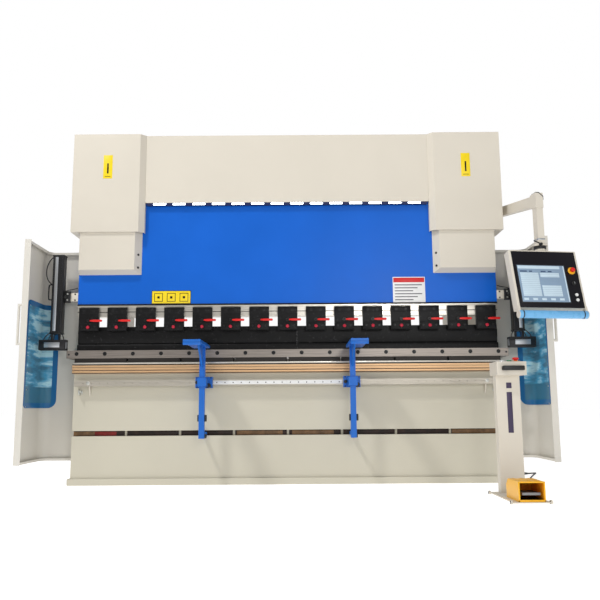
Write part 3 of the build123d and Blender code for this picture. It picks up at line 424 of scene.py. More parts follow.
def round_line(
    name: str, points: list[Point] | tuple[Point, ...], radius: float, order: int, steps: int, ring: int
) -> bpy.types.Curve:
    """Makes a round tube along a smooth line.

    Args:
        name: Name of the curve.
        points: Control points of the line.
        radius: Radius of the tube.
        order: Order of the line.
        steps: Steps between two points.
        ring: Fineness round the tube.

    Returns:
        The curve.
    """
    curve = bpy.data.curves.new(name, "CURVE")
    curve.dimensions = "3D"
    spline = curve.splines.new("NURBS")
    spline.points.add(len(points) - 1)
    for target, point in zip(spline.points, points):
        target.co = (*point, 1.0)
    spline.order_u = order
    spline.use_endpoint_u = True
    spline.resolution_u = steps
    curve.bevel_depth = radius
    curve.bevel_resolution = ring
    curve.use_fill_caps = True
    return curve


class Piece:
    """Gathers rounded blocks, turned parts, plates and tubes into one mesh object."""

    def __init__(self, name: str, body: str, place: Matrix | None = None) -> None:
        """Starts an empty piece.

        Args:
            name: Name of the object.
            body: CAD body that it rides on.
            place: Where its own millimetre frame sits, as a matrix in millimetres.
        """
        self.name = name
        self.body = body
        self.place = place or Matrix.Identity(4)
        self.mesh = bmesh.new()
        self.finishes: list[Finish] = []

    def _adopt(self, shell: bmesh.types.BMesh, finish: Finish) -> None:
        """Moves a finished shell into the piece.

        Args:
            shell: The shell, in millimetres. It is freed.
            finish: Its finish.
        """
        if finish not in self.finishes:
            self.finishes.append(finish)
        index = self.finishes.index(finish)
        for face in shell.faces:
            face.material_index = index
        bmesh.ops.recalc_face_normals(shell, faces=shell.faces[:])
        shell.transform(Matrix.Scale(MM, 4) @ self.place)
        carrier = bpy.data.meshes.new("carrier")
        shell.to_mesh(carrier)
        shell.free()
        self.mesh.from_mesh(carrier)
        bpy.data.meshes.remove(carrier)

    def block(self, x: Pair, y: Pair, z: Pair, finish: Finish, edge: float = 1.0) -> "Piece":
        """Adds a block with rounded edges.

        Args:
            x: Low and high X.
            y: Low and high Y.
            z: Low and high Z.
            finish: Its finish.
            edge: Radius of its edges.

        Returns:
            This piece.
        """
        outline = [(x[0], y[0]), (x[1], y[0]), (x[1], y[1]), (x[0], y[1])]
        return self.slab(outline, z, finish, edge)

    def slab(
        self, outline: list[Pair], z: Pair, finish: Finish, edge: float = 1.0, turn: Matrix | None = None
    ) -> "Piece":
        """Adds an outline in X and Y drawn out along Z, with rounded edges.

        Args:
            outline: Corners in order.
            z: Low and high Z.
            finish: Its finish.
            edge: Radius of its edges.
            turn: Turns it into place.

        Returns:
            This piece.
        """
        shell = bmesh.new()
        base = [shell.verts.new((a, b, z[0])) for a, b in outline]
        top = [shell.verts.new((a, b, z[1])) for a, b in outline]
        count = len(outline)
        shell.faces.new(list(reversed(base)))
        shell.faces.new(top)
        for i in range(count):
            j = (i + 1) % count
            shell.faces.new((base[i], base[j], top[j], top[i]))
        if edge:
            bmesh.ops.bevel(shell, geom=shell.edges[:], offset=edge, segments=2, profile=0.5,
                            affect="EDGES", clamp_overlap=True)
        if turn:
            shell.transform(turn)
        self._adopt(shell, finish)
        return self

    def turned(self, profile: list[Pair], at: Point, axis: Point, finish: Finish, steps: int = 28) -> "Piece":
        """Adds a turned shape.

        Args:
            profile: Radius and height pairs; a radius of 0 closes an end.
            at: Where height 0 is.
            axis: Which way the height runs.
            finish: Its finish.
            steps: Facets round it.

        Returns:
            This piece.
        """
        shell = bmesh.new()
        rings: list[list[bmesh.types.BMVert]] = []
        for radius, height in profile:
            if radius < 1e-6:
                rings.append([shell.verts.new((0, 0, height))])
                continue
            ring = []
            for i in range(steps):
                angle = 2 * math.pi * i / steps
                ring.append(shell.verts.new((radius * math.cos(angle), radius * math.sin(angle), height)))
            rings.append(ring)
        for low, high in zip(rings, rings[1:]):
            for i in range(steps):
                j = (i + 1) % steps
                corners = [low[i % len(low)], low[j % len(low)], high[j % len(high)], high[i % len(high)]]
                unique = list(dict.fromkeys(corners))
                if len(unique) > 2:
                    shell.faces.new(unique)
        turn = Vector(axis).normalized().to_track_quat("Z", "Y").to_matrix().to_4x4()
        shell.transform(Matrix.Translation(at) @ turn)
        self._adopt(shell, finish)
        return self

    def button(self, radius: float, height: float, at: Point, axis: Point, finish: Finish) -> "Piece":
        """Adds a turned disc with rounded edges, standing on its foot at that point."""
        soft = min(radius, height) * 0.3
        profile = [(0, 0), (radius, 0), (radius, height - soft), (radius - soft * 0.3, height - soft * 0.3),
                   (radius - soft, height), (0, height)]
        return self.turned(profile, at, axis, finish)

    def screw(self, radius: float, at: Point, axis: Point, finish: Finish, height: float = 4.0) -> "Piece":
        """Adds a socket head screw with its hexagon recess."""
        self.turned([(0, 0), (radius, 0), (radius, height * 0.8), (radius * 0.9, height), (radius * 0.52, height),
                     (radius * 0.5, height * 0.3), (0, height * 0.3)], at, axis, finish, 18)
        return self

    def tube(self, points: list[Point], radius: float, finish: Finish, smooth: int = 4) -> "Piece":
        """Adds a round tube along a smooth line.

        Args:
            points: Control points of the line.
            radius: Radius of the tube.
            finish: Its finish.
            smooth: Order of the line.

        Returns:
            This piece.
        """
        curve = round_line("guide", points, radius, min(smooth, len(points)), 8, 4)
        guide = bpy.data.objects.new("guide", curve)
        made = bpy.data.meshes.new_from_object(guide)
        shell = bmesh.new()
        shell.from_mesh(made)
        bpy.data.meshes.remove(made)
        bpy.data.objects.remove(guide)
        bpy.data.curves.remove(curve)
        self._adopt(shell, finish)
        return self

    def build(self, *replaced: str) -> bpy.types.Object:
        """Makes the object, rides it on its body and reports it.

        Args:
            replaced: CAD nodes that it stands for.

        Returns:
            The finished object.
        """
        data = bpy.data.meshes.new(self.name)
        self.mesh.to_mesh(data)
        self.mesh.free()
        data.shade_smooth()
        data.set_sharp_from_angle(angle=SHARP_ANGLE)
        for finish in self.finishes:
            data.materials.append(finish.material())
        made = bpy.data.objects.new(self.name, data)
        bpy.context.scene.collection.objects.link(made)
        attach(made, self.body)
        if replaced:
            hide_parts(*replaced)
        LOG.info("built %s: %d faces on %s", self.name, len(data.polygons), self.body)
        return made


@dataclass
class LowerBeam:
    """The lower beam with its slit, bronze bar, rails and eye bolts.

    Args:
        rib_pitch: Distance between the ribs behind the slit.
        bay_inset: Gap between a rib and the plates of painted shade.
        slit: Low and high edge of the slit.
        half: Half the beam's length, with the end bays' insets.
    """

    rib_pitch: float = 400.0
    bay_inset: float = 9.0
    slit: Pair = (352.0, 390.0)
    half: float = 1597.0

    def dress_nodes(self) -> None:
        """Gives the CAD nodes of the beam their finishes."""
        # The lower beam takes the darker copy of the frame paint: painted shade.
        dress("lower_beam", SHADED_BED_PAINT, 2.0)
        dress("beam_cap", BRONZE, 0.8)
        dress("crowning_base", DARK_STEEL, 0.8)
        dress("die_rail", RAIL_STEEL, 0.8)
        dress("die_clamp_screws", SCREW_BLACK, 0.5)
        dress("dies", TOOL_BLACK, 0.5)
        dress("support_rail", GUIDE_STEEL, 0.8)
        dress("lifting_eyes", ZINC, 0.8)

    def slit_shade_lining(self) -> None:
        """Builds dark plates of painted shade in the bays seen through the slit, between the ribs, with patches of
        painted brown and red reflection.
        """
        piece = Piece("slit_shade_lining", "frame")
        ribs = [-self.half, *[i * self.rib_pitch for i in range(-3, 4)], self.half]
        height = (self.slit[0] + 0.4, self.slit[1] - 0.4)
        for low, high in zip(ribs, ribs[1:]):
            # Dark plate in each bay: painted shade inside the slit.
            piece.block((low + self.bay_inset, high - self.bay_inset), (-58.0, -55.2), height, SLIT_SHADE, 0.4)
        # Brown and red patches: painted reflections in the slit.
        for low, high, finish in ((-1587.0, -1432.0, SLIT_BROWN_REFLECTION), (-1430.0, -1270.0, SLIT_RED_REFLECTION),
                                  (-380.0, -40.0, SLIT_BROWN_REFLECTION), (30.0, 340.0, SLIT_BROWN_REFLECTION),
                                  (1215.0, 1587.0, SLIT_BROWN_REFLECTION)):
            piece.block((low, high), (-59.0, -57.5), (height[0] + 2, height[1] - 5), finish, 0.4)
        piece.build()

    def bar_lines(self) -> None:
        """Builds the steel strip on the table bar and dark lines of painted shade for the bronze bar's grooves."""
        piece = Piece("bar_lines", "frame")
        piece.block(BAR_ENDS, (-113.6, -111.5), (880.0, 891.0), GROUND_STEEL, 0.5)
        for low, high, front in ((829.8, 834.6, -116.5), (853.0, 855.4, -119.3), (810.4, 815.0, -119.3)):
            # Dark lines: painted shade in the bronze bar's grooves.
            piece.block(BAR_ENDS, (front, front + 2.0), (low, high), SLIT_SHADE, 0.2)
        piece.build()

    def rail_marks(self) -> None:
        """Builds the guide rail's scale, its bolts and the die rail's end screws."""
        piece = Piece("bed_fittings", "frame")
        piece.block((-545.0, 400.0), (RAIL_FACE - 0.15, RAIL_FACE + 0.4), (723.0, 750.0), BUTTON_WHITE, 0.05)
        for i in range(16):
            piece.button(4.2, 0.12, (-520.0 + i * 60.0, RAIL_FACE - 0.1, 736.0), FRONT, SCREW_BLACK)
        for sign in (-1, 1):
            piece.screw(13.0, (sign * 1466.0, RAIL_FACE, 737.0), FRONT, ZINC, 5.0)
            piece.screw(7.0, (sign * 1632.0, -109.0, 952.0), FRONT, SCREW_BLACK, 2.5)
        piece.build()

    def build(self) -> None:
        """Builds and dresses everything on the lower beam."""
        self.dress_nodes()
        self.slit_shade_lining()
        self.bar_lines()
        self.rail_marks()


@dataclass
class ToolClamps:
    """Fifteen quick clamps under the ram, with their plates, screws, knobs and levers.

    Args:
        count: Number of clamps.
        pitch: Distance between clamps.
        front: Y of the clamps' front face.
        lever_z: Height of the lever pins.
    """

    count: int = 15
    pitch: float = 215.0
    front: float = -75.0
    lever_z: float = 1209.0

    def places(self) -> list[float]:
        """X of each clamp, from left to right."""
        return [(i - self.count // 2) * self.pitch for i in range(self.count)]

    def dress_nodes(self) -> None:
        """Gives the CAD nodes of the tooling their finishes."""
        dress("clamp_blocks", TOOL_BLACK, 1.0)
        dress("clamp_rail", GROUND_STEEL, 1.0)
        dress("punches", TOOL_BLACK, 0.5)

    def plates(self) -> None:
        """Builds each clamp's two front plates with their screws and the red knob."""
        piece = Piece("clamp_fronts", "ram_body")
        for x in self.places():
            piece.block((x - 71, x + 71), (self.front - 0.8, self.front + 1), (1262.0, 1305.0), TOOL_BLACK, 0.4)
            piece.block((x - 71, x + 71), (self.front - 7, self.front + 1), (1134.0, 1191.0), TOOL_BLACK, 1.4)
            for side in (-36.0, 36.0):
                piece.screw(10.0, (x + side, self.front - 0.5, 1284.0), FRONT, SCREW_BLACK, 0.6)
                piece.screw(8.0, (x + side * 1.35, self.front - 7, 1163.0), FRONT, SCREW_BLACK, 3.5)
            at = (x, self.front - 7, 1158.0)
            piece.turned([(6, 0), (6, 4), (12, 5), (13, 9), (11, 15), (6, 17), (0, 17)], at, FRONT, KNOB_RED)
        piece.build()

    def levers(self) -> None:
        """Builds one red grip on a black hub for each clamp, on its own body."""
        for number, x in enumerate(self.places(), start=1):
            rear = self.front - 0.3
            piece = Piece(f"lever_grip_{number:02d}", f"lever_{number:02d}")
            z = self.lever_z
            outline = [(x + 6, z - 5), (x + 24, z - 5), (x + 34, z - 8.5), (x + 98, z - 8.5), (x + 103.5, z - 5),
                       (x + 103.5, z + 5), (x + 98, z + 8.5), (x + 34, z + 8.5), (x + 24, z + 5), (x + 6, z + 5)]
            piece.slab(outline, (-rear + 1.0, -rear + 10.0), LEVER_RED, 1.8, UPRIGHT)
            piece.turned([(5.2, 0), (12.5, 0), (12.5, 9), (11.5, 11), (5.2, 11), (5.2, 0)],
                         (x, rear, z), FRONT, SCREW_BLACK)
            piece.build(f"clamp_lever_{number:02d}")

    def adaptor_marks(self) -> None:
        """Builds the black band over the adaptor bar and the dark joint below it."""
        piece = Piece("adaptor_lines", "ram_body")
        piece.block(BAR_ENDS, (-61.4, -59.0), (1326.0, 1337.6), TOOL_BLACK, 0.6)
        piece.block(BAR_ENDS, (-45.9, -44.6), (1276.0, 1281.0), TOOL_BLACK, 0.3)
        piece.build()

    def build(self) -> None:
        """Builds and dresses the tooling under the ram."""
        self.dress_nodes()
        self.plates()
        self.levers()
        self.adaptor_marks()


@dataclass
class RamPlate:
    """The blue ram with its plain plates, rod covers and rods.

    Args:
        front: Y of the ram's front face.
        cover_edge: Two plan points of the rod cover's slanted side.
        outer_edge: Two plan points of its outer side.
        screw_heights: Heights of the screws on that side.
    """

    front: float = -50.0
    cover_edge: tuple[Pair, Pair] = ((1120.0, -50.0), (1166.0, -106.0))
    outer_edge: tuple[Pair, Pair] = ((1599.0, -50.0), (1589.0, -106.0))
    screw_heights: tuple[float, ...] = (1617.0, 1717.0)

    def dress_nodes(self) -> None:
        """Gives the ram's CAD nodes their finishes."""
        dress("ram", RAM_BLUE, 2.0)
        dress("rod_covers", FRAME_PAINT, 2.0)
        dress("piston_rods", CHROME, 0.6)

    def plates(self) -> None:
        """Builds the plain yellow and white plates on the ram."""
        piece = Piece("ram_plates", "ram_body")
        y = (self.front - 1.2, self.front + 0.5)
        piece.block((-1038, -738), (y[0] + 0.5, y[1]), (1339.5, 1441), CASE_BLACK, 0.3)
        piece.block((-1034, -742), y, (1343, 1437), PLATE_YELLOW, 0.4)
        for i in range(3):
            x = -985 + i * 97
            for size, finish in ((33.0, CASE_BLACK), (28.5, PLATE_YELLOW), (9.0, CASE_BLACK)):
                depth = self.front - 2.0 + size / 60
                piece.block((x - size, x + size), (depth, y[1]), (1389 - size, 1389 + size), finish, 0.2)
        piece.block((807, 1054), y, (1332.0, 1536), PLATE_WHITE, 0.5)
        piece.block((812, 1049), (y[0] - 0.5, y[0] + 0.5), (1494, 1530), PLATE_RED, 0.3)
        for row in range(6):
            z = 1474 - row * 23
            piece.block((822, 1030 - (row % 3) * 34), (y[0] - 0.5, y[0] + 0.5), (z - 4, z + 4), PLATE_GREY, 0.2)
        piece.build()

    def cover_screws(self) -> None:
        """Builds the dark screws on the slanted sides of the rod covers."""
        piece = Piece("rod_cover_screws", "ram_body")
        for (x0, y0), (x1, y1) in (self.cover_edge, self.outer_edge):
            for sign in (-1, 1):
                for z in self.screw_heights:
                    outward = 1 if x1 > x0 else -1
                    normal = (-sign * outward * (y0 - y1), -abs(x1 - x0), 0)
                    piece.screw(9.0, (sign * (x0 + x1) / 2, (y0 + y1) / 2, z), normal, SCREW_BLACK, 3.0)
        piece.build()

    def build(self) -> None:
        """Builds and dresses the ram."""
        self.dress_nodes()
        self.plates()
        self.cover_screws()


@dataclass
class UpperBody:
    """Cylinder covers, fascia, light strip and everything behind them.

    Args:
        lens_count: Number of lit lenses.
        lens_pitch: Distance between lenses.
        lens_length: Length of a lens.
        lens_z: Low and high edge of the lenses.
        plate_x: X of the yellow plate on each cover.
    """

    lens_count: int = 14
    lens_pitch: float = 152.0
    lens_length: float = 98.0
    lens_z: Pair = (2109.0, 2123.0)
    plate_x: float = 1387.0

    def dress_nodes(self) -> None:
        """Gives the upper CAD nodes their finishes."""
        for name in ("cylinder_cover_left", "cylinder_cover_right", "front_fascia", "side_frame_left",
                     "side_frame_right", "upper_beam"):
            dress(name, FRAME_PAINT, 2.0)
        dress("led_strip", LED_HOUSING, 0.6)
        dress("cylinders", CYLINDER_GREY, 1.5)
        dress("hydraulic_unit", TANK_PAINT, 2.5)

    def lenses(self) -> None:
        """Builds the row of lit lenses under the fascia."""
        piece = Piece("strip_lenses", "frame")
        for i in range(self.lens_count):
            x = (i - (self.lens_count - 1) / 2) * self.lens_pitch
            piece.block((x - self.lens_length / 2, x + self.lens_length / 2), (-83.0, -66.0), self.lens_z,
                        LED_LENS, 2.5)
        piece.build()

    def plates(self) -> None:
        """Builds the plain yellow plates on the cylinder covers."""
        piece = Piece("cover_plates", "frame")
        for sign in (-1, 1):
            x = sign * self.plate_x
            piece.block((x - 35, x + 35), (-125.4, -123.0), (2312, 2500), PLATE_YELLOW, 0.6)
            piece.block((x - 22, x + 22), (-126.0, -125.0), (2326, 2330), CASE_BLACK, 0.2)
            piece.block((x - 6, x + 6), (-126.2, -125.0), (2352, 2434), CASE_BLACK, 2.0)
        piece.build()

    def seams(self) -> None:
        """Builds the lids' folded front lips and their screws."""
        piece = Piece("lid_lips", "frame")
        for sign in (-1, 1):
            low, high = sorted((sign * 1142.0, sign * 1655.0))
            piece.block((low, high), (-123.6, -119.0), (2655.0, 2657.0), CASE_BLACK, 0.3)
            for x in (1200.0, 1400.0, 1600.0):
                piece.screw(7.0, (sign * x, 60.0, LID_TOP), UP, ZINC, 4.0)
        piece.build()

    def rear_fittings(self) -> None:
        """Builds the motor's ribs, the tank's gauge and cap and the beam's bolts."""
        piece = Piece("rear_fittings", "frame")
        for i in range(13):
            x = 40.0 + i * 16.0
            piece.turned([(96, -3), (104, -3), (105, 0), (104, 3), (96, 3)], (x, 430, 2560), RIGHT, TANK_PAINT,
                         FINE_STEPS)
        piece.turned([(0, 0), (92, 0), (98, 4), (98, 40), (90, 52), (60, 56), (0, 56)], (290, 430, 2560), RIGHT,
                     BLACK_PLASTIC, FINE_STEPS)
        piece.turned([(0, 0), (46, 0), (48, 4), (48, 16), (40, 22), (0, 22)], (520, 430, 2538), UP, BLACK_PLASTIC)
        piece.block((560, 590), (598, 606), (2120, 2380), LASER_SILVER, 2.0)
        piece.block((567, 583), (604, 609), (2150, 2350), BUTTON_WHITE, 1.5)
        for x in (-620.0, -300.0, 20.0, 340.0):
            piece.screw(11.0, (x, 599.0, 2425.0), BACK, ZINC, 8.0)
        for sign in (-1, 1):
            for z in (1780.0, 1960.0, 2500.0, 2620.0):
                piece.screw(14.0, (sign * 1310.0, 259.5, z), BACK, ZINC, 10.0)
        for x in (-280.0, -200.0, -120.0):
            piece.tube([(x, 430, 2590), (x, 430, 2625), (x - 20, 330, 2640), (x - 60, 285, 2560), (x - 60, 262, 2480)],
                       9.0, BLACK_PLASTIC)
        piece.build()

    def build(self) -> None:
        """Builds and dresses the upper body."""
        self.dress_nodes()
        self.lenses()
        self.plates()
        self.seams()
        self.rear_fittings()


@dataclass
class FrontSupports:
    """Two blue sheet supports on the guide rail.

    Args:
        posts: X of each post, by side.
        post_y: Middle of the posts.
        post_half: Half a post's width; not used.
    """

    posts: dict[str, float] = field(default_factory=lambda: {"left": -611.0, "right": 471.0})
    post_y: float = -270.0
    post_half: float = 20.0

    def knobs(self, side: str, x: float) -> None:
        """Builds one support's knob, lock lever, top strips and end caps.

        Args:
            side: left or right.
            x: X of its post.
        """
        shift = 25.0 if side == "right" else -25.0
        arm = Piece(f"support_fittings_{side}", f"arm_{side}")
        low, high = x + shift - 59.5, x + shift + 59.5
        for edge in (low + 3, high - 13):
            arm.block((edge, edge + 10), (-630.0, -134.0), (1009.5, 1012.0), SUPPORT_BLUE, 0.8)
        arm.block((low + 14, high - 14), (-628.0, -136.0), (1009.6, 1010.6), LASER_SILVER, 0.4)
        arm.block((low, high), (-634.0, -628.0), (972.0, 994.0), SUPPORT_BLUE, 1.5)
        for y in (-600.0, -420.0, -170.0):
            arm.screw(6.0, (x + shift, y, 1010.0), UP, ZINC, 2.5)
        for low, high in ((x - 31, x - 19), (x + 19, x + 35)):
            arm.block((low, high), (self.post_y - 15, self.post_y + 15), (456.0, 504.0), BLACK_PLASTIC, 5.0)
        arm.block((x + 10, x + 30), (self.post_y + 12, self.post_y + 60), (337.5, 368.0), BLACK_PLASTIC, 5.0)
        arm.build()
        carriage = Piece(f"carriage_fittings_{side}", f"carriage_{side}")
        carriage.turned([(0, 0), (9, 0), (9, 10), (13, 12), (13, 18), (10, 20), (0, 20)],
                        (x - 48, -186.3, 736.0), FRONT, BLACK_PLASTIC)
        carriage.turned([(0, 0), (11, 0), (12, 14), (17, 17), (18, 24), (18, 34), (14, 38), (0, 39)],
                        (x + 36, -186.3, 712.0), FRONT, BLACK_PLASTIC)
        for dx in (-50.0, 50.0):
            for z in (702.0, 770.0):
                carriage.screw(5.0, (x + dx, -186.3, z), FRONT, SCREW_BLACK, 2.5)
        carriage.build()

    def build(self) -> None:
        """Builds and dresses both supports."""
        for side, x in self.posts.items():
            dress(f"support_carriage_{side}", SUPPORT_BLUE, 1.5)
            dress(f"support_arm_{side}", SUPPORT_BLUE, 1.5)
            self.knobs(side, x)


def arc(x: float, y: float, radius: float, first: float, last: float, steps: int = 10) -> list[Pair]:
    """Points of an arc in plan.

    Args:
        x: Its middle.
        y: Its middle.
        radius: Its radius.
        first: First angle in degrees.
        last: Last angle in degrees.
        steps: Number of steps.

    Returns:
        The points in order.
    """
    angles = [math.radians(first + (last - first) * i / steps) for i in range(steps + 1)]
    return [(x + radius * math.cos(a), y + radius * math.sin(a)) for a in angles]


@dataclass
class SideGuards:
    """Wrap-round side guards with tinted windows and bow grips.

    Args:
        outside: X of the outer face.
        grip_z: Ends of the bow grip.
        grip_y: Y of the grip.
        pivot: X and Y of the hinge pins.
        knuckles: Feet of the hinge knuckles.
        corner: Middle of the rounded corner in plan.
        hem_radius: Radius of the hem round it.
        front: Y of the guard's front edge.
        inner: X of the rear panel's inner edge.
    """

    outside: float = 1885.0
    grip_z: Pair = (1002.0, 1298.0)
    grip_y: float = -372.0
    pivot: Pair = (1550.0, 90.0)
    knuckles: Pair = (400.0, 1500.0)
    corner: Pair = (1805.0, -7.0)
    hem_radius: float = 55.0
    front: float = -407.0
    inner: float = 1560.0

    def fittings(self, side: str, sign: int) -> None:
        """Builds one guard's grip feet, pane rivets and hinge caps.

        Args:
            side: left or right.
            sign: -1 or 1.
        """
        piece = Piece(f"guard_fittings_{side}", f"side_guard_{side}")
        for z in (self.grip_z[0] + 9, self.grip_z[1] - 9):
            piece.turned([(0, 0), (16, 0), (16, 3), (13, 5), (0, 5)], (sign * self.outside, self.grip_y, z),
                         (sign, 0, 0), LASER_SILVER)
        rivets = [(-262.0, 1306.0 - i * 123.0) for i in range(7)]
        for y, z in rivets:
            piece.button(4.5, 2.5, (sign * (self.outside - 8), y, z), (-sign, 0, 0), LASER_SILVER)
        for low in self.knuckles:
            x, y = self.pivot
            piece.turned([(8.2, 0), (15, 0), (15, 3), (12, 5), (8.2, 5), (8.2, 0)], (sign * x, y, low + 59), UP,
                         ZINC)
        piece.build()

    def hem(self, side: str, sign: int) -> None:
        """Builds the folded hem along one guard's top and bottom flanges.

        Args:
            side: left or right.
            sign: -1 or 1.
        """
        piece = Piece(f"guard_hem_{side}", f"side_guard_{side}", Matrix.Diagonal((sign, 1, 1, 1)))
        (cx, cy), radius = self.corner, self.hem_radius
        outer = [(cx + radius, self.front + 5), *arc(cx, cy, radius, 0, 90), (self.inner + 2, cy + radius)]
        inner = [(cx + radius - 3, self.front + 5), *arc(cx, cy, radius - 3, 0, 90), (self.inner + 2, cy + radius - 3)]
        for low, high in ((1744.0, 1764.6), (168.4, 186.0)):
            # The hem takes the guards' greyer copy of the frame paint: painted shade and painted reflection.
            piece.slab(outer + inner[::-1], (low, high), SHADED_GUARD_PAINT, 0.0)
        piece.build()

    def build(self) -> None:
        """Builds and dresses both guards."""
        for side, sign in (("left", -1), ("right", 1)):
            # The guards take the cooler, greyer copy of the frame paint: painted shade and painted reflection.
            dress(f"guard_{side}", SHADED_GUARD_PAINT, 1.0)
            self.hem(side, sign)
            # The window's tint carries painted reflections.
            dress(f"window_{side}", WINDOW_WITH_REFLECTIONS, 0.6)
            self.fittings(side, sign)


@dataclass
class LaserGuards:
    """Laser guard columns and heads on the ram's ends.

    Args:
        column: Low and high X of the column.
        head: Low and high X of the head.
        column_z: Low and high Z of the column.
        front: Y of the column's front.
    """

    column: Pair = (1700.0, 1785.0)
    head: Pair = (1652.0, 1851.0)
    column_z: Pair = (1112.0, 1712.0)
    front: float = -100.0

    def one_side(self, sign: int) -> None:
        """Builds one column's strip, head window, brackets and conduits.

        Args:
            sign: -1 or 1.
        """
        name = "right" if sign > 0 else "left"
        piece = Piece(f"laser_fittings_{name}", "ram_body", Matrix.Diagonal((sign, 1, 1, 1)))
        middle = sum(self.column) / 2
        z0, z1 = self.column_z
        piece.block((middle + 2, middle + 25), (self.front - 2, self.front + 1), (z0 + 20, z1 - 12), LASER_SILVER, 1)
        for x in (self.column[0] + 10, self.column[1] - 10):
            piece.block((x - 6, x + 6), (self.front - 4, self.front + 1), (z0 + 4, z1 - 4), LASER_BLACK, 1.5)
        for low, high in ((z1 - 10, z1 + 4), (z0 - 4, z0 + 12)):
            piece.block((self.column[0] - 3, self.column[1] + 3), (self.front - 5, -36.0), (low, high), LASER_BLACK, 3)
        x0, x1 = self.head
        piece.block((x0 + 8, x1 - 8), (-142.5, -138.0), (994.0, 1052.0), LASER_BLACK, 2)
        piece.block((x0 + 42, x1 - 42), (-144.5, -141.0), (1004.0, 1042.0), LASER_SILVER, 1.2)
        piece.block((x0 - 2.5, x0 + 2), (-128.0, -92.0), (996.0, 1046.0), LASER_SILVER, 1.2)
        piece.block((1600.0, 1662.0), (-51.5, -42.0), (1362.0, 1428.0), FRAME_PAINT, 1.5)
        piece.block((1655.0, 1712.0), (-66.0, -42.0), (1352.0, 1440.0), LASER_BLACK, 3)
        for z in (1372.0, 1418.0):
            piece.screw(6.0, (1622.0, -51.5, z), FRONT, SCREW_BLACK, 3)
            piece.screw(6.5, (1676.0, -66.0, z), FRONT, ZINC, 3)
        piece.turned([(0, 0), (13, 0), (14, 4), (14, 16), (9, 20), (0, 20)], (1690.0, -66.0, 1395.0), FRONT,
                     BLACK_PLASTIC)
        edge = self.column[1]
        piece.tube([(edge - 20, -70, z1), (edge + 14, -70, z1 - 4), (edge + 54, -70, z1 - 60),
                    (edge + 62, -70, z1 - 150), (edge + 40, -70, z1 - 205), (edge - 4, -70, z1 - 230)],
                   4.0, LASER_BLACK)
        piece.tube([(edge - 4, -70, 1490), (edge + 26, -70, 1490), (edge + 34, -70, 1480), (edge + 34, -70, 1380),
                    (edge + 26, -70, 1372), (edge - 4, -70, 1372)], 5.0, LASER_BLACK, 3)
        piece.tube([(self.column[0] + 6, -70, 1430), (1680, -68, 1452), (1640, -60, 1448), (1604, -50, 1466)], 3.5,
                   LASER_BLACK)
        for i in range(5):
            foot = x0 + 24 + i * (x1 - x0 - 48) / 4
            top = self.column[0] + 8 + i * (edge - self.column[0] - 16) / 4
            piece.tube([(foot, -106, 1060), (foot, -104, 1082), ((foot + top) / 2, -98, 1104), (top, -92, 1126)], 3.6,
                       LASER_BLACK)
        piece.build()

    def build(self) -> None:
        """Builds and dresses both laser guards."""
        dress("laser_guards", LASER_BLACK, 2.5)
        for sign in (-1, 1):
            self.one_side(sign)


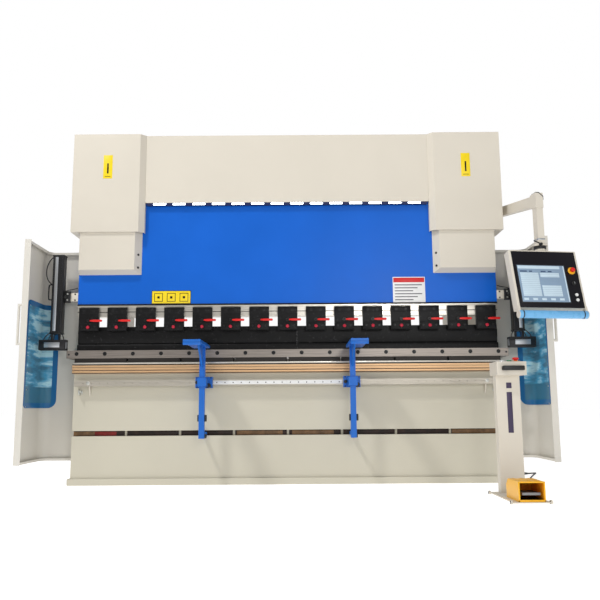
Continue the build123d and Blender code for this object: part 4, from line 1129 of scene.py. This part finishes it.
@dataclass
class Pendant:
    """The swinging boom with its tilting control case.

    Args:
        pivot: X and Y of the boom's pivot.
        elbow: X and Y of the drop tube.
        boom_z: Height of the boom at its pivot.
        elbow_z: Height of the boom at its elbow.
        case_size: Width, height and depth of the case.
        case_top: Height of the case's top front edge.
        shift: Case off the drop tube, across.
        ahead: Case ahead of the drop tube.
        tilt: Tilt in degrees.
        screen: Left, right, bottom and top of the screen.
        stop: Across and height of the stop button.
    """

    pivot: Pair = (1690.0, 160.0)
    elbow: Pair = (1785.0, -520.0)
    boom_z: float = 2085.0
    elbow_z: float = 1988.0
    case_size: Point = (496.0, 428.0, 80.0)
    case_top: float = 1618.0
    shift: float = -8.0
    ahead: float = 42.0
    tilt: float = 14.0
    screen: tuple[float, float, float, float] = (-206.0, 136.0, -386.0, -114.0)
    stop: Pair = (188.0, -150.0)

    def boom_place(self) -> Matrix:
        """The boom's own frame: pivot at the origin, boom along -Y."""
        turn = math.atan2(self.elbow[0] - self.pivot[0], self.pivot[1] - self.elbow[1])
        return Matrix.Translation((*self.pivot, 0)) @ Matrix.Rotation(turn, 4, "Z")

    def length(self) -> float:
        """Distance from the pivot to the elbow."""
        return math.hypot(self.elbow[0] - self.pivot[0], self.elbow[1] - self.pivot[1])

    def case_place(self) -> Matrix:
        """The case's own frame, with its origin at the top front edge."""
        offset = Matrix.Translation((self.shift, -self.length() - self.ahead, self.case_top))
        return self.boom_place() @ offset @ Matrix.Rotation(math.radians(-self.tilt), 4, "X")

    def boom(self) -> None:
        """Builds the boom's caps, collar and lock lever."""
        far = -self.length()
        piece = Piece("boom_fittings", "boom", self.boom_place())
        piece.turned([(0, 0), (40, 0), (42, 3), (42, 9), (36, 13), (0, 14)], (0, 0, self.boom_z + 40), UP,
                     BLACK_PLASTIC)
        top = self.elbow_z + 54
        cap = [(28.5, top - 52), (31, top - 52), (31, top - 24), (-2, top + 4), (-26, top + 4), (-26, top - 1),
               (-4, top - 1), (28.5, top - 30)]
        piece.slab(cap, (-far - 30, -far + 35), BLACK_PLASTIC, 0.8, UPRIGHT)
        piece.block((-29, 29), (far - 35, far - 1), (self.elbow_z - 56, self.elbow_z - 40), FRAME_PAINT, 4)
        piece.block((-26, 26), (far - 33, far + 33), (1700.0, 1712.0), LASER_SILVER, 2)
        piece.build()

    def face(self) -> None:
        """Builds the black face, screen, keys, key switch and handle."""
        piece = Piece("case_face", "control_case", self.case_place())
        width, height, depth = self.case_size
        half = width / 2
        piece.block((-half + 16, half - 16), (0.6, 4.3), (-height + 1, -7), CASE_BLACK, 1.0)
        left, right, low, high = self.screen
        piece.block((left - 7, right + 7), (-0.6, 2), (low - 7, high + 7), BLACK_PLASTIC, 1.2)
        piece.block((left, right), (-1.2, 1), (low, high), SCREEN, 0.3)
        self.screen_layout(piece)
        across = self.stop[0]
        radius = 11.0
        for z, finish in ((-244.0, BLACK_PLASTIC), (-332.0, BUTTON_WHITE), (-370.0, BUTTON_WHITE)):
            piece.turned([(0, 0), (radius + 3, 0), (radius + 3, 3), (radius + 1, 5), (0, 5)], (across, 0.6, z),
                         FRONT, BLACK_PLASTIC)
            piece.button(radius, 8.0, (across, -3.0, z), FRONT, finish)
        piece.block((across - 1.5, across + 1.5), (-14.0, -8.0), (-251, -237), LASER_SILVER, 0.6)
        grip_z = -height - 43.0
        reach = half - 1.0
        piece.turned([(0, -reach), (25, -reach), (27.4, 4 - reach), (27.4, reach - 4), (25, reach), (0, reach)],
                     (0, 14, grip_z), RIGHT, HANDLE_BLUE, 40)
        for x in (-216.0, 216.0):
            piece.turned([(27.3, -4), (28.8, -3), (28.8, 3), (27.3, 4)], (x, 14, grip_z), RIGHT, BLACK_PLASTIC, 40)
        piece.block((-120, 120), (depth - 1, depth + 3), (-330, -90), BLACK_PLASTIC, 2)
        for i in range(9):
            z = -120 - i * 22
            piece.block((-96, 96), (depth + 2, depth + 4.5), (z - 3, z + 3), CASE_BLACK, 0.8)
        piece.build()

    def screen_layout(self, piece: Piece) -> None:
        """Draws plain tables and keys on the screen.

        Args:
            piece: The face being built.
        """
        left, right, low, high = self.screen
        y = (-1.7, -1.0)
        split = left + 152
        piece.block((left + 4, right - 34), y, (high - 26, high - 4), SCREEN_PALE, 0.2)
        for low_x, high_x in ((left + 16, left + 66), (left + 82, left + 104), (split + 14, split + 50),
                              (split + 66, split + 94)):
            piece.block((low_x, high_x), y, (high - 50, high - 41), SCREEN_DARK, 0.2)
        piece.block((left + 14, split - 6), y, (low + 42, high - 56), SCREEN_PALE, 0.2)
        piece.block((split + 6, right - 46), y, (high - 88, high - 56), SCREEN_PALE, 0.2)
        piece.block((split + 6, right - 46), y, (low + 42, high - 150), SCREEN_PALE, 0.2)
        for row in range(12):
            z = high - 68 - row * 14
            piece.block((left + 14, split - 6), (-2.1, -1.5), (z - 0.8, z + 0.8), SCREEN_GREY, 0.1)
            if row < 2 or row > 6:
                piece.block((split + 6, right - 46), (-2.1, -1.5), (z - 0.8, z + 0.8), SCREEN_GREY, 0.1)
        piece.block((right - 10, right - 2), y, (low + 4, high - 4), SCREEN_PALE, 0.2)
        for column in range(5):
            x = left + 12 + column * 64
            piece.block((x, x + 34), y, (low + 12, low + 28), SCREEN_PALE, 0.4)

    def collar(self) -> None:
        """Builds the swivel collar's ring and small lock lever."""
        piece = Piece("swivel_collar", "control_case", self.boom_place())
        far = -self.length()
        piece.turned([(37, 0), (50, 0), (50, 10), (46, 13), (37, 13)], (0, far, 1658.0), UP, FRAME_PAINT, FINE_STEPS)
        piece.turned([(37, 0), (43, 0), (43, 20), (37, 20)], (0, far, 1636.0), UP, BLACK_PLASTIC, FINE_STEPS)
        piece.turned([(0, 0), (11, 0), (11, 16), (8, 20), (0, 20)], (-18, far - 44, 1664.0), FRONT, BLACK_PLASTIC)
        piece.tube([(-18, far - 58, 1664), (-40, far - 60, 1672), (-74, far - 62, 1684)], 4.5, BLACK_PLASTIC, 3)
        piece.build()

    def stop_button(self) -> None:
        """Builds the red mushroom with its yellow collar, in place of the plain button."""
        x, z = self.stop
        ring = Piece("case_stop_collar", "control_case", self.case_place())
        ring.turned([(12, 0), (26, 0), (26, 3), (23, 6), (12, 6), (12, 0)], (x, 0.4, z), FRONT, STOP_YELLOW, FINE_STEPS)
        ring.build()
        piece = Piece("case_stop_head", "control_estop", self.case_place())
        piece.turned([(0, -20), (11, -20), (11, 13), (13, 14.2), (15.6, 17), (16, 21), (15, 26), (11, 29), (5, 30),
                      (0, 30)], (x, 0, z), FRONT, STOP_RED, FINE_STEPS)
        piece.build("pendant_estop")

    def build(self) -> None:
        """Builds and dresses the pendant."""
        dress("pendant_boom", FRAME_PAINT, 2.5)
        dress("pendant_case", FRAME_PAINT, 1.5)
        self.boom()
        self.face()
        self.collar()
        self.stop_button()


@dataclass
class FootStation:
    """The pedestal with its head, foot switch and cord.

    Args:
        column_x: Low and high X of the column.
        column_front: Y of its front.
        head_x: Low and high X of the head.
        head_front: Y of the head's front.
        head_top: Height of the head's top.
        stop: X and Y of the stop button.
        hood_x: Low and high X of the hood.
        hood_y: Low and high Y of the hood.
        hood_z: Low and high Z of the hood.
        pin: Y and Z of the pedal's pin.
        cord: Points of the cord's route, in metres.
    """

    column_x: Pair = (1344.0, 1496.0)
    column_front: float = -820.0
    head_x: Pair = (1339.0, 1529.0)
    head_front: float = -880.0
    head_top: float = 831.0
    stop: Pair = (1487.0, -790.0)
    hood_x: Pair = (1325.0, 1475.0)
    hood_y: Pair = (-1240.0, -1000.0)
    hood_z: Pair = (14.0, 126.0)
    pin: Pair = (-1055.0, 48.0)
    cord: tuple[Point, ...] = (
        (1.508, -0.772, 0.128),
        (1.536, -0.772, 0.128),
        (1.558, -0.796, 0.132),
        (1.562, -0.834, 0.136),
        (1.549, -0.870, 0.138),
        (1.524, -0.898, 0.130),
        (1.494, -0.919, 0.109),
        (1.464, -0.944, 0.079),
        (1.464, -0.984, 0.079),
    )

    def pedal_cord(self) -> None:
        """Lays the cord from the column's gland to the hood's, with its tapered reliefs."""
        curve = round_line("pedal_cord_line", self.cord, 0.0045, 3, 12, 5)
        curve.materials.append(CORD_GREY.material())
        made = bpy.data.objects.new("pedal_cord_line", curve)
        bpy.context.scene.collection.objects.link(made)
        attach(made, "foot_station")
        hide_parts("pedal_cord")
        relief = Piece("cord_reliefs", "foot_station")
        taper = [(4.6, -2), (9, -2), (9.5, 2), (8, 5), (7, 12), (6, 20), (4.6, 24)]
        relief.turned(taper, (1508.0, -772.0, 128.0), RIGHT, BLACK_PLASTIC)
        relief.turned(taper, (1464.0, -984.0, 79.0), BACK, BLACK_PLASTIC)
        reliefs = relief.build()

    def head(self) -> None:
        """Builds the head's buttons, collar, grip and the column's plain stripe."""
        piece = Piece("station_fittings", "foot_station")
        x, y = self.stop
        top = self.head_top
        piece.turned([(12, 0), (29, 0), (30, 2), (30, 6), (27, 8), (12, 8), (12, 0)], (x, y, top), UP,
                     STOP_YELLOW, FINE_STEPS)
        for offset, finish in ((42.0, BUTTON_GREEN), (88.0, BUTTON_WHITE)):
            piece.turned([(14, 0), (18, 0), (18, 3), (15, 8), (14, 8)], (x - offset, y, top), UP, LASER_SILVER)
            piece.turned([(15.4, 0), (15.4, 11), (14, 13.5), (0, 14)], (x - offset, y, top), UP, finish)
        piece.block((x - 62, x + 31), (y - 32, y + 32), (top - 0.5, top + 5.4), BLACK_PLASTIC, 1.2)
        z = top - 42.5
        left, right = self.head_x[0] + 32, self.head_x[1] - 28
        piece.block((left - 4, right + 4), (self.head_front - 39.5, self.head_front - 21), (z - 15, z + 15),
                    BLACK_PLASTIC, 6)
        for x in (left + 8, right - 8):
            piece.block((x - 10, x + 10), (self.head_front - 24, self.head_front + 1), (z - 13, z + 13),
                        BLACK_PLASTIC, 3)
        middle = sum(self.column_x) / 2 + 6
        for low, high in ((384, 640), (664, 700)):
            piece.block((middle - 17, middle + 17), (self.column_front - 0.8, self.column_front + 0.5), (low, high),
                        STRIPE, 0.4)
        piece.build()
        stop = Piece("station_stop_head", "station_estop")
        foot = top + 6
        stop.turned([(0, -24), (11, -24), (11, 9), (16, 11), (20.5, 13), (21, 17), (19, 22), (13, 25), (6, 26),
                     (0, 26)], (self.stop[0], self.stop[1], foot), UP, STOP_RED, FINE_STEPS)
        stop.build("pedestal_estop")

    def casters(self) -> None:
        """Builds tyres over the four small wheels."""
        piece = Piece("station_casters", "foot_station")
        for x in (1285.0, 1510.0):
            for y in (-1228.0, -767.0):
                piece.turned([(0, -7), (6, -7), (7, -6.2), (11, -6.2), (12, -4), (12, 4), (11, 6.2), (7, 6.2),
                              (6, 7), (0, 7)], (x, y, 12), RIGHT, BLACK_PLASTIC, 24)
        piece.build()

    def foot_switch(self) -> None:
        """Builds the hood's lining in a brighter orange that paints light inside it, its ribs and skirt, and the
        treaded pedal.
        """
        x0, x1 = self.hood_x
        y0, y1 = self.hood_y
        z0, z1 = self.hood_z
        piece = Piece("hood_fittings", "foot_station")
        piece.block((x0 - 2, x1 + 2), (y0 - 4, y0 + 8), (z0, z0 + 12), HOOD_YELLOW, 3)
        mouth = (((x0 - 2, x0 + 7), (z0, z1 + 1)), ((x1 - 7, x1 + 2), (z0, z1 + 1)),
                 ((x0 - 2, x1 + 2), (z1 - 7, z1 + 2)))
        for x, z in mouth:
            piece.block(x, (y0 - 4, y0 + 5), z, HOOD_YELLOW, 3)
        # The lining takes the brighter orange copy: painted light inside the hood.
        piece.block((x0 + 5, x1 - 5), (y1 - 7, y1 - 5), (z0 + 8, z1 - 40), LIT_HOOD_INSIDE, 0.6)
        for x in ((x0 + 5, x0 + 6.5), (x1 - 6.5, x1 - 5)):
            piece.block(x, (y0 + 10, y1 - 46), (z0 + 9, z1 - 6), LIT_HOOD_INSIDE, 0.5)
        piece.block((x0 + 6, x1 - 6), (y0 + 10, y1 - 20), (z0 + 7, z0 + 9), BLACK_PLASTIC, 0.6)
        for x in (x0 + 30, sum(self.hood_x) / 2, x1 - 30):
            piece.block((x - 5, x + 5), (y0 + 14, y1 - 44), (z1 - 1, z1 + 2), HOOD_YELLOW, 1.4)
        piece.build()
        pedal = Piece("pedal_tread", "pedal")
        wide = (x0 + 26, x1 - 26)
        y, z = self.pin
        for i in range(11):
            at = y0 + 24 + i * 12
            share = (at - (y0 + 14)) / (y + 14 - (y0 + 14))
            height = z + 15 - 6 * share
            pedal.block(wide, (at - 3, at + 3), (height - 1.5, height + 2.5), BLACK_PLASTIC, 1.0)
        pedal.block((x0 + 22, x1 - 22), (y0 + 12, y0 + 18), (z + 2, z + 17), PEDAL_GREY, 2)
        pedal.build()

    def build(self) -> None:
        """Builds and dresses the foot station."""
        self.pedal_cord()
        dress("pedestal", FRAME_PAINT, 1.5)
        dress("foot_guard", HOOD_YELLOW, 2.0)
        dress("foot_pedal", PEDAL_GREY, 1.5)
        self.head()
        self.casters()
        self.foot_switch()


@dataclass
class RearGear:
    """Back gauge, slideways and electrical cabinet.

    Args:
        cabinet_x: Low and high X of the cabinet.
        cabinet_y: Low and high Y of the cabinet.
        cabinet_z: Low and high Z of the cabinet; not used.
        finger_x: X of each finger, by side.
    """

    cabinet_x: Pair = (1408.0, 1828.0)
    cabinet_y: Pair = (470.0, 1060.0)
    cabinet_z: Pair = (350.0, 1700.0)
    finger_x: dict[str, float] = field(default_factory=lambda: {"left": -500.0, "right": 500.0})

    def cabinet(self) -> None:
        """Builds the cabinet's handle, vents and hinges."""
        piece = Piece("cabinet_fittings", "frame")
        x = self.cabinet_x[1]
        y0, y1 = self.cabinet_y
        piece.block((x - 1, x + 10), (y0 + 46, y0 + 76), (960, 1120), BLACK_PLASTIC, 4)
        piece.block((x + 8, x + 22), (y0 + 54, y0 + 68), (985, 1095), BLACK_PLASTIC, 5)
        for low in (450.0, 1500.0):
            for i in range(7):
                z = low + i * 16
                piece.block((x - 1, x + 3), (y0 + 200, y1 - 160), (z, z + 7), TANK_PAINT, 1.5)
        for z in (520.0, 1025.0, 1530.0):
            piece.turned([(0, -30), (7, -30), (8, -28), (8, 28), (7, 30), (0, 30)], (x + 2, y1 - 16, z), UP, ZINC)
        piece.build()

    def gauge(self) -> None:
        """Builds the beam's rail and the fingers' tips and knobs."""
        rail = Piece("gauge_rail", "back_gauge")
        rail.block((-1240, 1240), (561, 566), (955, 985), GROUND_STEEL, 1.5)
        for x in range(-1200, 1201, 150):
            rail.screw(5.0, (float(x), 561.0, 970.0), FRONT, ZINC, 3)
        rail.build()
        for side, x in self.finger_x.items():
            tip = Piece(f"finger_tip_{side}", f"finger_{side}")
            tip.block((x - 16, x + 16), (246, 254), (1034, 1058), DARK_STEEL, 1.5)
            tip.turned([(0, 0), (10, 0), (12, 3), (12, 16), (8, 20), (0, 20)], (x, 600, 1061), UP, BLACK_PLASTIC)
            tip.build()

    def build(self) -> None:
        """Builds and dresses the rear gear."""
        dress("electrical_cabinet", FRAME_PAINT, 3.0)
        dress("gauge_slideways", DARK_STEEL, 1.5)
        dress("gauge_beam", ALUMINIUM, 1.5)
        for side in self.finger_x:
            dress(f"gauge_finger_{side}", GROUND_STEEL, 1.0)
        self.cabinet()
        self.gauge()


@dataclass
class Studio:
    """Floor, soft lights, surroundings and camera.

    Args:
        lens: Focal length in millimetres.
        eye: Where the camera stands, metres.
        pitch: Upward tilt, radians.
        yaw: Turn towards +X, radians.
        roll: Roll, radians.
        ambient: Strength of the surround, apart from where it is seen directly.
    """

    lens: float = 41.66
    eye: Point = (0.0887, -5.2910, 0.5539)
    pitch: float = 0.153
    yaw: float = 0.0013
    roll: float = -0.0069
    ambient: float = 0.43

    def camera(self) -> None:
        """Sets up the camera."""
        data = bpy.data.cameras.new("view")
        data.lens = self.lens
        data.sensor_width = 36.0
        data.clip_end = 200.0
        made = bpy.data.objects.new("view", data)
        turn = Matrix.Rotation(-self.yaw, 4, "Z") @ Matrix.Rotation(math.pi / 2 + self.pitch, 4, "X")
        made.matrix_world = Matrix.Translation(self.eye) @ turn @ Matrix.Rotation(self.roll, 4, "Z")
        bpy.context.scene.collection.objects.link(made)
        bpy.context.scene.camera = made

    def floor(self) -> None:
        """Lays the pale floor."""
        data = bpy.data.meshes.new("floor")
        reach = 60.0
        data.from_pydata([(-reach, -reach, 0), (reach, -reach, 0), (reach, reach, 0), (-reach, reach, 0)], [],
                         [(0, 1, 2, 3)])
        data.materials.append(LitFinish("floor", (0.93, 0.93, 0.93), Grain.CAST, 0.8, spread=0.01, gloss=0.1,
                                        strength=0.66).material())
        made = bpy.data.objects.new("floor", data)
        bpy.context.scene.collection.objects.link(made)

    def surroundings(self) -> None:
        """Sets an even white surround and the colour handling."""
        world = bpy.data.worlds.new("surround")
        world.use_nodes = True
        back = world.node_tree.nodes["Background"]
        back.inputs["Color"].default_value = (1.0, 1.0, 1.0, 1.0)
        seen = world.node_tree.nodes.new("ShaderNodeLightPath")
        span = world.node_tree.nodes.new("ShaderNodeMapRange")
        span.inputs["To Min"].default_value = self.ambient
        span.inputs["To Max"].default_value = 1.0
        world.node_tree.links.new(seen.outputs["Is Camera Ray"], span.inputs["Value"])
        world.node_tree.links.new(span.outputs["Result"], back.inputs["Strength"])
        scene = bpy.context.scene
        scene.world = world
        scene.view_settings.view_transform = "Standard"

    def light(self, name: str, at: Point, target: Point, size: Pair, power: float) -> None:
        """Adds one soft rectangular light.

        Args:
            name: Its name.
            at: Where it hangs.
            target: What it faces.
            size: Width and height in metres.
            power: Watts.
        """
        data = bpy.data.lights.new(name, "AREA")
        data.shape = "RECTANGLE"
        data.size, data.size_y = size
        data.energy = power
        made = bpy.data.objects.new(name, data)
        made.location = at
        made.rotation_euler = (Vector(target) - Vector(at)).to_track_quat("-Z", "Y").to_euler()
        bpy.context.scene.collection.objects.link(made)

    def build(self) -> None:
        """Builds the studio."""
        self.camera()
        self.floor()
        self.surroundings()
        self.light("key", (-4.1, -4.2, 8.0), (0.0, 0.0, 1.0), (0.9, 0.9), 320.0)
        self.light("fill", (3.0, -8.0, 2.5), (0.0, 0.0, 1.3), (5.0, 3.0), 30.0)
        self.light("sheen", (1.45, -6.0, 2.2), (0.7, 0.0, 1.35), (0.9, 0.45), 34.0)
        self.light("rear", (0.0, 5.5, 5.0), (0.0, 0.0, 1.5), (5.0, 2.0), 45.0)


def main() -> None:
    """Builds the studio and every sub-assembly."""
    logging.basicConfig(level=logging.WARNING, format="%(message)s")
    for maker in (Studio(), LowerBeam(), ToolClamps(), RamPlate(), UpperBody(), FrontSupports(), SideGuards(),
                  LaserGuards(), Pendant(), FootStation(), RearGear()):
        maker.build()
        LOG.info("finished %s", type(maker).__name__)


if __name__ == "__main__":
    main()
